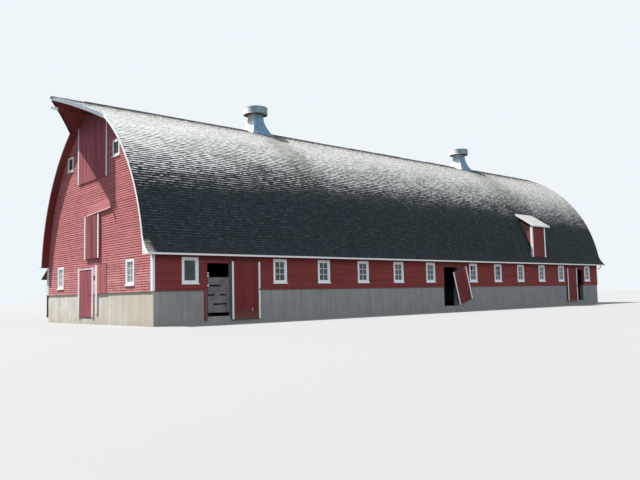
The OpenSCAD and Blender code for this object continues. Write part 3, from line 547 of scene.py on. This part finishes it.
def splitPaint(name, look):
    where = startMaterial(name)
    grain = effect(grainGroup, where, look["stretch"])[0]
    bare, faded = effect(wearGroup, where, grain, 0.3)
    past = above(split(where)[look["axis"]], look["from"])
    colour = layers(look["low"], (past, look["high"]), (times(faded, 0.25), look["faded"]),
                    (times(bare, 0.6), splitBare))
    finishMaterial(colour, 0.8, grain, 0.004)


for name, look in paintLooks.items():
    paintedTimber(name, look)
for name, look in splitLooks.items():
    splitPaint(name, look)
for makeMaterial in (castConcrete, shingleWood, paleRoofing, bareTimber, sheetSteel, rustySteel, oldGlass,
                     shadowTimber, roofShell):
    makeMaterial()
print("materials made")


# Geometry helpers
def alongSide(side, at):
    # local x runs along a long wall, local y outwards
    return Matrix(((1, 0, 0, 0), (0, side, 0, side * at), (0, 0, 1, 0), (0, 0, 0, 1)))


def acrossEnd(side, at):
    # local x runs across the barn, local y outwards from an end
    return Matrix(((0, side, 0, at), (1, 0, 0, 0), (0, 0, 1, 0), (0, 0, 0, 1)))


def block(bm, low, high, place=None, tone=None):
    # box between two corners, turned into place, with a tone for its paint
    verts = bmesh.ops.create_cube(bm, size=1.0)["verts"]
    for vert in verts:
        vert.co = Vector([low[i] if vert.co[i] < 0 else high[i] for i in range(3)])
        if place:
            vert.co = place @ vert.co
    if tone is not None:
        layer = bm.faces.layers.float.get("tone") or bm.faces.layers.float.new("tone")
        for face in {f for v in verts for f in v.link_faces}:
            face[layer] = tone
    return verts


def finishPiece(name, bm, finish, body="barn", bevel=0.0, turned=True):
    bm.normal_update()
    if turned:
        bmesh.ops.recalc_face_normals(bm, faces=bm.faces)
    if bevel:
        bmesh.ops.bevel(bm, geom=bm.edges[:], offset=bevel, segments=1, profile=0.5, affect="EDGES",
                        material=-1)
    mesh = bpy.data.meshes.new(name)
    bm.to_mesh(mesh)
    bm.free()
    piece = bpy.data.objects.new(name, mesh)
    scene.collection.objects.link(piece)
    mesh.materials.append(finishes[finish])
    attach(piece, body)


def absorb(bm, small):
    # take a small bmesh into a large one
    mesh = bpy.data.meshes.new("small")
    small.to_mesh(mesh)
    small.free()
    bm.from_mesh(mesh)
    bpy.data.meshes.remove(mesh)


def freeSpans(left, right, blocks):
    spans, start = [], left
    for a, b in sorted(blocks):
        if b <= start or a >= right:
            continue
        if a > start:
            spans.append((start, a))
        start = max(start, b)
    if start < right:
        spans.append((start, right))
    return spans


# Lap siding, one wedge-shaped board at a time between corners and casings
siding = {"butt": 0.016, "top": 0.002, "lap": 0.012, "joint": (2.4, 4.9), "first": (0.3, 1.0), "gap": 0.002,
          "shortest": 0.6, "slack": 0.01, "roofGap": 0.004, "eaveTop": 2.86, "ridgeTop": 10.15,
          "sideInset": 0.075, "gableInset": 0.145}
windows = {
    "front": [-16.82] + [-12.11 + 2.7 * i for i in range(5)] + [2.73 + 2.605 * i for i in range(5)] + [16.9],
    "gable": [-3.81, 3.95], "width": 0.78, "height": 1.15, "foot": 1.64, "low": 1.66, "high": 2.79,
    "loft": [(-2.46, 7.36), (2.75, 7.43)], "loftWidth": 0.7, "loftHeight": 0.79,
}
doorways = {"places": [-16.0, -0.1, 15.06], "width": 1.24, "top": 2.565}
doorHoles = {"walk": (-0.05, 1.72, 0.0, 2.6), "strip": (-0.51, -0.3, 0.0, 2.7),
             "latch": (-0.25, -0.06, 2.015, 2.205), "panel": (-1.53, -0.53, 0.0, 2.71),
             "loft": (-0.84, 0.74, 3.02, 5.005), "hay": (-1.61, 1.69, 6.67, 10.2),
             "rear": (-18.25, -17.01, 0.0, 2.415)}


def sidingWall(name, place, foot, top, edges, holes, finish, seed):
    # edges gives the wall's ends at a height, holes are (left, right, low, high)
    rng = random.Random(seed)
    bm = bmesh.new()
    half = siding["gap"] / 2
    z = foot
    while z < top - leastCourse:
        upper = min(z + lapBoards["exposure"], top)
        left, right = edges(z)
        upLeft, upRight = edges(upper)
        blocks = [(a, b) for a, b, low, high in holes
                  if low < upper - siding["slack"] and high > z + siding["slack"]]
        for a, b in freeSpans(left, right, blocks):
            cuts, cursor = [a], a + rng.uniform(*siding["joint"]) * rng.uniform(*siding["first"])
            while cursor < b - siding["shortest"]:
                cuts.append(cursor)
                cursor += rng.uniform(*siding["joint"])
            cuts.append(b)
            for start, stop in zip(cuts, cuts[1:]):
                low, high = (start + half, 0.0, z - siding["lap"]), (stop - half, siding["butt"], upper)
                for vert in block(bm, low, high, None, rng.random()):
                    if vert.co.z > z + siding["slack"]:
                        # the upper edge is thin, and follows the roof where the board ends under it
                        if vert.co.y > hair:
                            vert.co.y = siding["top"]
                        if start == left and vert.co.x < (start + stop) / 2:
                            vert.co.x += upLeft - left
                        if stop == right and vert.co.x > (start + stop) / 2:
                            vert.co.x += upRight - right
                    vert.co = place @ vert.co
        z += lapBoards["exposure"]
    finishPiece(name, bm, finish)


def windowHole(at):
    return (at - windows["width"] / 2, at + windows["width"] / 2, windows["low"], windows["high"])


def sideEdges(z):
    return (siding["sideInset"] - halfLength, halfLength - siding["sideInset"])


def gableEdges(z):
    if z < siding["eaveTop"]:
        reach = halfWidth - siding["gableInset"]
    else:
        reach = min(archHalf(z, roof["shell"]) - siding["roofGap"], halfWidth)
    return (-reach, reach)


frontPlace, rearPlace = alongSide(-1, halfWidth), alongSide(1, halfWidth)
nearPlace, farPlace = acrossEnd(-1, -halfLength), acrossEnd(1, halfLength)
frontHoles = [windowHole(x) for x in windows["front"]]
rearHoles = frontHoles[1:] + [doorHoles["rear"]]
frontHoles += [(x, x + doorways["width"], 0.0, doorways["top"]) for x in doorways["places"]]
farHoles = [windowHole(y) for y in windows["gable"]]
farHoles += [(y - windows["loftWidth"] / 2, y + windows["loftWidth"] / 2, z + 0.02, z + windows["loftHeight"])
             for y, z in windows["loft"]]
nearHoles = farHoles + [doorHoles[name] for name in ("walk", "strip", "latch", "panel", "loft", "hay")]
walls = [("frontSiding", frontPlace, siding["eaveTop"], sideEdges, frontHoles, "sidingFront"),
         ("rearSiding", rearPlace, siding["eaveTop"], sideEdges, rearHoles, "sidingFront"),
         ("nearSiding", nearPlace, siding["ridgeTop"], gableEdges, nearHoles, "sidingGable"),
         ("farSiding", farPlace, siding["ridgeTop"], gableEdges, farHoles, "sidingGable")]
for seed, (name, place, top, edges, holes, finish) in enumerate(walls, 1):
    sidingWall(name, place, lapBoards["foot"], top, edges, holes, finish, seed)
print("siding laid")


# Shingles, one wedge each, course by course up both slopes
shingle = {"exposure": 0.127, "under": 0.035, "butt": 0.017, "lift": (0.75, 1.25), "top": 0.002,
           "width": (0.09, 0.26), "gap": 0.004, "ragged": 0.006, "first": 0.012, "last": slopeLength - 0.06,
           "past": 0.02, "hoodCourse": 55}
dormerGap = {"x": (9.42, 11.07), "y": (-5.9, -4.72), "z": 3.32}


def shingleCourse(spans, foot, top, side, rng, skip):
    # one course in a small mesh of its own, which keeps each operator quick
    bm = bmesh.new()
    layer = bm.faces.layers.float.new("tone")
    upLayer = bm.verts.layers.float.new("up")
    drop = []
    half = shingle["gap"] / 2
    for left, right in spans:
        x = left
        while x < right - hair:
            width = rng.uniform(*shingle["width"])
            if right - (x + width) < shingle["width"][0]:
                width = right - x
            if not (skip and skip(x + width / 2, side * foot[0], foot[1])):
                verts = bmesh.ops.create_cube(bm, size=1.0)["verts"]
                tone = rng.random()
                for face in {f for v in verts for f in v.link_faces}:
                    # the butt gets a tone of its own, -1, which the material paints as shade, and the faces
                    # that lie on the roof go
                    centre = face.calc_center_median()
                    face[layer] = -1.0 if centre.y < -hair else tone
                    if centre.z < -hair or centre.y > hair:
                        drop.append(face)
                ragged = rng.uniform(-1, 1) * shingle["ragged"]
                lift = shingle["butt"] * rng.uniform(*shingle["lift"])
                for vert in verts:
                    up = vert.co.y > 0
                    vert[upLayer] = 1.0 if up else 0.0
                    out = (shingle["top"] if up else lift) if vert.co.z > 0 else 0.0
                    slide = 0.0 if up else ragged
                    y, z, normal = top if up else foot
                    vert.co = Vector((x + half if vert.co.x < 0 else x + width - half,
                                      side * (y + out * normal[0] - slide * normal[1]),
                                      z + out * normal[1] + slide * normal[0]))
            x += width
    bmesh.ops.delete(bm, geom=drop, context="FACES")
    if side > 0:
        bmesh.ops.reverse_faces(bm, faces=bm.faces[:])
    return bm


def shingleSlope(name, side, spansAt, first, seed, skip=None):
    rng = random.Random(seed)
    bm = bmesh.new()
    bm.faces.layers.float.new("tone")
    bm.verts.layers.float.new("up")
    along = first
    while along < shingle["last"] - leastCourse:
        reach = min(along + shingle["exposure"] + shingle["under"], shingle["last"])
        absorb(bm, shingleCourse(spansAt(along), roofPoint(along), roofPoint(reach), side, rng, skip))
        along += shingle["exposure"]
    finishPiece(name, bm, "shingleWood", turned=False)


def inVent(x, y, z):
    return any(max(abs(x - at), abs(y)) < roof["ventHalf"] for at in roof["vents"])


def inVentOrDormer(x, y, z):
    (left, right), (front, back) = dormerGap["x"], dormerGap["y"]
    return inVent(x, y, z) or left < x < right and front < y < back and z > dormerGap["z"]


def roofSpan(along):
    return [(roof["nearEdge"] - shingle["past"], roof["farEdge"] + shingle["past"])]


def hoodSpan(along):
    y = roofPoint(along)[0]
    if y > roof["hoodHalf"]:
        return []
    run = (roof["hoodHalf"] - y) / (roof["hoodHalf"] - roof["hoodBlunt"])
    tip = roof["nearEdge"] - run * (roof["nearEdge"] - roof["hoodTip"])
    return [(tip, roof["nearEdge"] - shingle["past"])]


hoodFirst = shingle["first"] + shingle["hoodCourse"] * shingle["exposure"]
shingleSlope("frontShingles", -1, roofSpan, shingle["first"], 21, inVentOrDormer)
shingleSlope("rearShingles", 1, roofSpan, shingle["first"], 22, inVent)
shingleSlope("frontHoodShingles", -1, hoodSpan, hoodFirst, 29)
shingleSlope("rearHoodShingles", 1, hoodSpan, hoodFirst, 31)
print("shingles laid")


# Sash bars, two panes wide and three high
bars = {"width": 0.024, "front": -0.009, "back": -0.0255, "side": 0.135, "low": 0.185, "top": 0.135}


def sashBars(bm, place, width, height):
    across, high = width / 2 - bars["side"], height - bars["top"]
    half = bars["width"] / 2
    block(bm, (-half, bars["back"], bars["low"]), (half, bars["front"], high), place, 0.2)
    for part in (1, 2):
        z = bars["low"] + (high - bars["low"]) * part / 3
        block(bm, (-across, bars["back"], z - half), (across, bars["front"], z + half), place, 0.4)


def windowPlaces():
    # place on the wall, whether it is a loft window, and whether its bars have lost their paint
    for x in windows["front"]:
        yield frontPlace @ Matrix.Translation((x, 0, windows["foot"])), False, x == windows["front"][0]
    for x in windows["front"][1:]:
        yield rearPlace @ Matrix.Translation((x, 0, windows["foot"])), False, False
    for end in (nearPlace, farPlace):
        for y in windows["gable"]:
            yield end @ Matrix.Translation((y, 0, windows["foot"])), False, False
        for y, z in windows["loft"]:
            yield end @ Matrix.Translation((y, 0, z)), True, True


def allBars():
    bm, wornBm = bmesh.new(), bmesh.new()
    for place, loft, worn in windowPlaces():
        width, height = ("loftWidth", "loftHeight") if loft else ("width", "height")
        sashBars(wornBm if worn else bm, place, windows[width], windows[height])
    finishPiece("sashBars", bm, "whiteTrim")
    finishPiece("wornSashBars", wornBm, "greyedTrim")


def gonePanes():
    # three panes of the front windows are gone, each filled with a near-black sheet as painted shade: window,
    # column, row from below
    values = {"places": [(6, 0, 2), (7, 1, 1), (7, 1, 2)], "half": 0.24, "low": 0.2, "row": 0.26,
              "barWidth": 0.015, "barHeight": 0.012, "front": -0.0225, "back": -0.0255,
              "latchHole": ((-0.252, -0.06, 2.013), (-0.058, -0.05, 2.207))}
    bm = bmesh.new()
    for window, column, row in values["places"]:
        place = frontPlace @ Matrix.Translation((windows["front"][window], 0, windows["foot"]))
        left = -values["half"] + column * (values["half"] + values["barWidth"])
        low = values["low"] + row * (values["row"] + values["barHeight"])
        block(bm, (left, values["back"], low),
              (left + values["half"] - values["barWidth"], values["front"], low + values["row"]), place)
    # near-black painted shade at the back of the open latch hole beside the walk door
    block(bm, *values["latchHole"], nearPlace)
    finishPiece("gonePanes", bm, "shadowTimber")


allBars()
gonePanes()
print("windows barred")


# Upright planks on the doors: local x across the planks, local y outwards, local z up
plank = {"width": 0.145, "gap": 0.004, "thick": 0.012, "uneven": (0.85, 1.0), "ragged": 0.0}


def planking(name, place, area, finish, seed, body="barn", limit=None, **own):
    left, right, low, high = area
    values = {**plank, **own}
    rng = random.Random(seed)
    bm = bmesh.new()
    count = max(1, round((right - left) / values["width"]))
    step = (right - left) / count
    half = values["gap"] / 2
    for i in range(count):
        foot = low + rng.uniform(0, values["ragged"])
        corner = (left + (i + 1) * step - half, values["thick"] * rng.uniform(*values["uneven"]), high)
        for vert in block(bm, (left + i * step + half, 0.0, foot), corner, None, rng.random()):
            if limit and vert.co.z > high - 0.01:
                vert.co.z = min(vert.co.z, limit(vert.co.x))
            vert.co = place @ vert.co
    finishPiece(name, bm, finish, body)


def underArch(y):
    # height just below the roof's shell, where the hay door's planks end
    inner = roof["radius"] - roof["shell"] - 0.01
    return roof["centreZ"] + math.sqrt(inner ** 2 - (abs(y) + roof["past"]) ** 2)


slideFace = alongSide(-1, 5.885)
hanging = {"hook": (1.91, 0, 2.62), "corner": (-1.32, 0, -1.99), "lean": -16}
askew = (Matrix.Translation(hanging["hook"]) @ Matrix.Rotation(math.radians(hanging["lean"]), 4, "Y")
         @ Matrix.Translation(hanging["corner"]) @ slideFace)
planking("nearDoorPlanks", slideFace, (-14.72, -13.4, 0.15, 2.635), "planksDark", 41, "near_sliding_door")
planking("endDoorPlanks", slideFace, (13.97, 15.15, 0.31, 2.635), "planksDark", 42, "end_sliding_door")
planking("middleDoorPlanks", askew, (0.09, 1.23, 0.0, 1.985), "planksDark", 43)
planking("rearDoorPlanks", alongSide(1, 5.885), (-18.43, -17.05, 0.255, 2.485), "planksDark", 44)
planking("walkDoorPlanks", nearPlace, (0.121, 1.549, 0.325, 2.515), "planksFaded", 45, "walk_door_leaf",
         thick=0.005)
loftFace = acrossEnd(-1, -halfLength - 0.1)
planking("loftLeafRight", loftFace, (-0.735, -0.072, 3.025, 5.0), "planksLoft", 13)
planking("loftLeafLeft", loftFace, (-0.028, 0.635, 3.025, 5.0), "planksLoft", 12)
planking("hayDoorPlanks", acrossEnd(-1, -halfLength - 0.055), (-1.505, 1.585, 6.675, 10.18), "planksFaded",
         47, limit=underArch)
planking("boardPanelPlanks", acrossEnd(-1, -halfLength - 0.03), (-1.525, -0.535, 1.385, 2.705), "planksPanel",
         48, ragged=0.05)
planking("dormerDoorPlanks", alongSide(-1, 5.86), (9.545, 10.945, 3.375, 5.5), "planksDark", 49)
print("doors planked")


def hoodBoards():
    # lap boards on the steep hood over the loft door, which has sunk at its left end
    values = {"rows": 5, "half": 1.262, "foot": 0.04, "top": 0.482, "out": 0.085, "sunk": 3.1, "butt": 0.014,
              "thin": 0.003, "lap": 0.008, "ragged": 0.02, "y": -0.775, "z": 5.085,
              "lip": (0.086, 0.002, 0.104, 0.034), "seed": 61}
    sunk = math.radians(values["sunk"])
    place = Matrix(((0, -1, 0, -halfLength), (math.cos(sunk), 0, math.sin(sunk), values["y"]),
                    (-math.sin(sunk), 0, math.cos(sunk), values["z"]), (0, 0, 0, 1)))
    rise = values["top"] - values["foot"]
    step = rise / values["rows"]
    rng = random.Random(values["seed"])
    bm = bmesh.new()
    for row in range(values["rows"]):
        low = values["foot"] + row * step
        end = values["half"] - rng.uniform(0, values["ragged"])
        corner = (end, values["butt"], low + step)
        for vert in block(bm, (-end, 0.0, low - values["lap"]), corner, None, rng.random()):
            if vert.co.z > low and vert.co.y > hair:
                vert.co.y = values["thin"]
            vert.co.y += values["out"] * (1 - (vert.co.z - values["foot"]) / rise)
            vert.co = place @ vert.co
    finishPiece("hoodBoards", bm, "sidingGable")
    lip = bmesh.new()
    back, under, front, over = values["lip"]
    block(lip, (-values["half"], back, under), (values["half"], front, over), place, 0.1)
    finishPiece("hoodLip", lip, "wornTrim", bevel=0.002)


# Lap siding on the two cheeks of the dormer, cut along both roofs
dormer = {"sides": (9.43, 11.06), "foot": 3.386, "front": 5.775, "eave": 6.07, "eaveZ": 5.39, "pitch": 0.653,
          "top": 6.3, "longest": 3.0, "shortest": 0.05, "roofGap": 0.02}


def cheekEdges(z):
    back = archHalf(z, 0.0) + dormer["roofGap"]
    front = min(dormer["front"], dormer["eave"] - (z - dormer["eaveZ"]) / dormer["pitch"])
    if front <= back + dormer["shortest"]:
        return (-front, -front)
    return (-front, min(-back, -front + dormer["longest"]))


def dormerSiding():
    near, far = acrossEnd(-1, dormer["sides"][0]), acrossEnd(1, dormer["sides"][1])
    for name, place, seed in (("nearCheekSiding", near, 71), ("farCheekSiding", far, 72)):
        sidingWall(name, place, dormer["foot"], dormer["top"], cheekEdges, [], "cheekPaint", seed)


def ridgeRoll():
    # lengths of dark metal roll along the ridge, each sitting a little differently; the front side is darker
    # still with painted shade
    values = {"from": -18.95, "to": 19.1, "length": (1.8, 3.1), "radius": 0.042, "taper": 0.93,
              "z": 10.325, "uneven": 0.012, "across": (-0.012, 0.004), "turned": 0.25, "shortest": 0.05,
              "seed": 81}
    rng = random.Random(values["seed"])
    bm = bmesh.new()
    x = values["from"]
    while x < values["to"] - values["shortest"]:
        reach = min(x + rng.uniform(*values["length"]), values["to"])
        centre = ((x + reach) / 2, rng.uniform(*values["across"]),
                  values["z"] + rng.uniform(-values["uneven"], values["uneven"]))
        turn = math.radians(90 + rng.uniform(-values["turned"], values["turned"]))
        bmesh.ops.create_cone(bm, cap_ends=True, segments=12, radius1=values["radius"],
                              radius2=values["radius"] * values["taper"], depth=reach - x,
                              matrix=Matrix.Translation(centre) @ Matrix.Rotation(turn, 4, "Y"))
        x = reach
    finishPiece("ridgeRoll", bm, "capPaint", turned=False)


def knobs():
    # three porcelain knobs on the left jamb of the near doorway
    values = {"places": [2.125, 2.01, 1.61], "x": -16.0, "y": -5.77, "length": 0.09, "radius": 0.042,
              "neck": 0.8, "round": 0.014}
    bm = bmesh.new()
    for z in values["places"]:
        small = bmesh.new()
        bmesh.ops.create_cone(small, cap_ends=True, segments=20, radius1=values["radius"] * values["neck"],
                              radius2=values["radius"], depth=values["length"])
        rims = [e for e in small.edges if abs(e.verts[0].co.z - e.verts[1].co.z) < 1e-6]
        bmesh.ops.bevel(small, geom=rims, offset=values["round"], segments=3, profile=0.5, affect="EDGES",
                        material=-1)
        turn = Matrix.Rotation(math.radians(90), 4, "Y")
        middle = Matrix.Translation((values["x"] + values["length"] / 2, values["y"], z))
        bmesh.ops.transform(small, verts=small.verts[:], matrix=middle @ turn)
        absorb(bm, small)
    finishPiece("jambKnobs", bm, "whiteTrim")


# Strap across the top of the door that hangs askew, then the pull and the latches
doorIron = {
    "middleDoorStrap": ("barn", askew, (0.1, 0.013, 1.79), (1.22, 0.018, 1.98)),
    "nearDoorPull": ("near_sliding_door", slideFace, (-13.77, 0.012, 0.46), (-13.74, 0.03, 0.62)),
    "nearDoorLatch": ("near_sliding_door", slideFace, (-13.36, 0.02, 1.39), (-13.31, 0.05, 1.46)),
    "endDoorLatch": ("end_sliding_door", slideFace, (15.16, 0.02, 1.35), (15.21, 0.05, 1.43)),
    "walkDoorLatch": ("walk_door_leaf", nearPlace, (0.2, 0.005, 1.28), (0.24, 0.03, 1.42)),
}


def ironPiece(name, finish="rustySteel", bevel=0.005):
    body, place, low, high = doorIron[name]
    bm = bmesh.new()
    block(bm, low, high, place, 0.3)
    finishPiece(name, bm, finish, body, bevel)


hoodBoards()
dormerSiding()
ridgeRoll()
ironPiece("middleDoorStrap", bevel=0.001)
knobs()
ironPiece("nearDoorPull", "wornTrim")
for name in ("nearDoorLatch", "endDoorLatch", "walkDoorLatch"):
    ironPiece(name)
print("trim added")

# Finishes of the CAD nodes
nodeFinishes = {
    "castConcrete": "floor_slab side_bases end_bases",
    "sidingFront": "front_wall front_headers rear_wall",
    "sidingGable": "near_gable_lower near_gable far_gable",
    "hoodPaint": "door_hoods",
    "bareTimber": "loft_floor loft_joists stable_gate",
    "trackPaint": "hay_track",
    "roofShell": "front_roof rear_roof hay_hood",
    "paleRoofing": "dormer_roof",
    "paleFascia": "hood_fascia",
    "sheetSteel": "ventilator_feet ventilator_drums",
    "capPaint": "ridge_cap",
    "rustySteel": "door_tracks hinge_pins",
    "postPaint": "door_posts",
    "wornTrim": "walk_door_casing",
    "planksPanel": "board_panel",
    "eaveTrim": "eave_boards",
    "frameTrim": "window_frames",
    "whiteTrim": "rake_boards corner_boards near_door_edges end_door_edges fixed_door_edges eave_outlet",
    "oldGlass": "window_glass",
    "planksDark": "near_door middle_door end_door rear_door dormer_door",
    "cheekPaint": "dormer_cheeks",
    "planksFaded": "walk_door hay_door",
    "planksLoft": "loft_door",
}
for finish, names in nodeFinishes.items():
    for node in [nodes[name] for name in names.split()]:
        if not node.material_slots:
            node.data.materials.append(finishes[finish])
        for slot in node.material_slots:
            slot.material = finishes[finish]
print("nodes dressed")


# Floor, light and camera
def makeStage():
    values = {"size": 900.0, "shown": (0.36, 0.36, 0.355), "bounce": (0.13, 0.13, 0.12), "rough": 0.95,
              "drop": 0.002}
    bm = bmesh.new()
    bmesh.ops.create_grid(bm, x_segments=1, y_segments=1, size=values["size"] / 2)
    bmesh.ops.translate(bm, verts=bm.verts[:], vec=(0, 0, -values["drop"]))
    mesh = bpy.data.meshes.new("floor")
    bm.to_mesh(mesh)
    bm.free()
    floor = bpy.data.objects.new("floor", mesh)
    scene.collection.objects.link(floor)
    where = startMaterial("paleFloor")
    seen = put("LightPath", {}, where.id_data).outputs["Is Camera Ray"]
    colour = mix(seen, values["bounce"], values["shown"])
    connect(where.id_data.nodes["Principled BSDF"], {"Base Color": colour, "Roughness": values["rough"]})
    mesh.materials.append(finishes["paleFloor"])


def makeLight():
    # the lamps' directions point from the barn to the light
    lamps = {
        "sun": {"from": (-0.324, 0.396, 0.859), "energy": 6.7, "soft": 0.9, "colour": (1.0, 0.975, 0.94)},
        "fill": {"from": (-0.15, -0.93, 0.34), "energy": 1.0, "soft": 50.0, "colour": (0.9, 0.95, 1.0)},
    }
    values = {"sky": (0.62, 0.8, 1.0), "skyStrength": 0.42, "seen": (0.86, 0.92, 0.96), "distance": 60}
    for name, own in lamps.items():
        light = bpy.data.lights.new(name, "SUN")
        light.energy = own["energy"]
        light.angle = math.radians(own["soft"])
        light.color = own["colour"]
        lamp = bpy.data.objects.new(name, light)
        towards = Vector(own["from"])
        lamp.rotation_euler = towards.to_track_quat("Z", "Y").to_euler()
        lamp.location = towards * values["distance"]
        scene.collection.objects.link(lamp)
    world = bpy.data.worlds.new("sky")
    scene.world = world
    world.use_nodes = True
    tree = world.node_tree
    tree.nodes.clear()
    path = put("LightPath", {}, tree).outputs
    through = larger(path["Is Glossy Ray"], path["Is Transmission Ray"])
    shown = larger(path["Is Camera Ray"], through)
    lighting = put("Background", {"Color": values["sky"], "Strength": values["skyStrength"]}, tree)
    behind = put("Background", {"Color": values["seen"], "Strength": 1.0}, tree)
    mixed = put("MixShader", {0: shown, 1: lighting.outputs[0], 2: behind.outputs[0]})
    put("OutputWorld", {0: mixed.outputs[0]})


def makeCamera():
    # the photo's viewing angle, solved from edge points of the barn
    values = {"right": (0.7495, -0.6616, -0.0226), "up": (-0.0375, -0.0765, 0.9964),
              "forward": (0.661, 0.7459, 0.0822), "place": (-31.1226, -30.0828, 1.0965), "lens": 37.651}
    data = bpy.data.cameras.new("camera")
    data.sensor_width = 36.0
    data.lens = values["lens"]
    data.clip_end = 2000.0
    camera = bpy.data.objects.new("camera", data)
    turn = Matrix((values["right"], values["up"], -Vector(values["forward"]))).transposed().to_4x4()
    camera.matrix_world = Matrix.Translation(values["place"]) @ turn
    scene.collection.objects.link(camera)
    scene.camera = camera


makeStage()
makeLight()
makeCamera()
scene.view_settings.view_transform = "Standard"
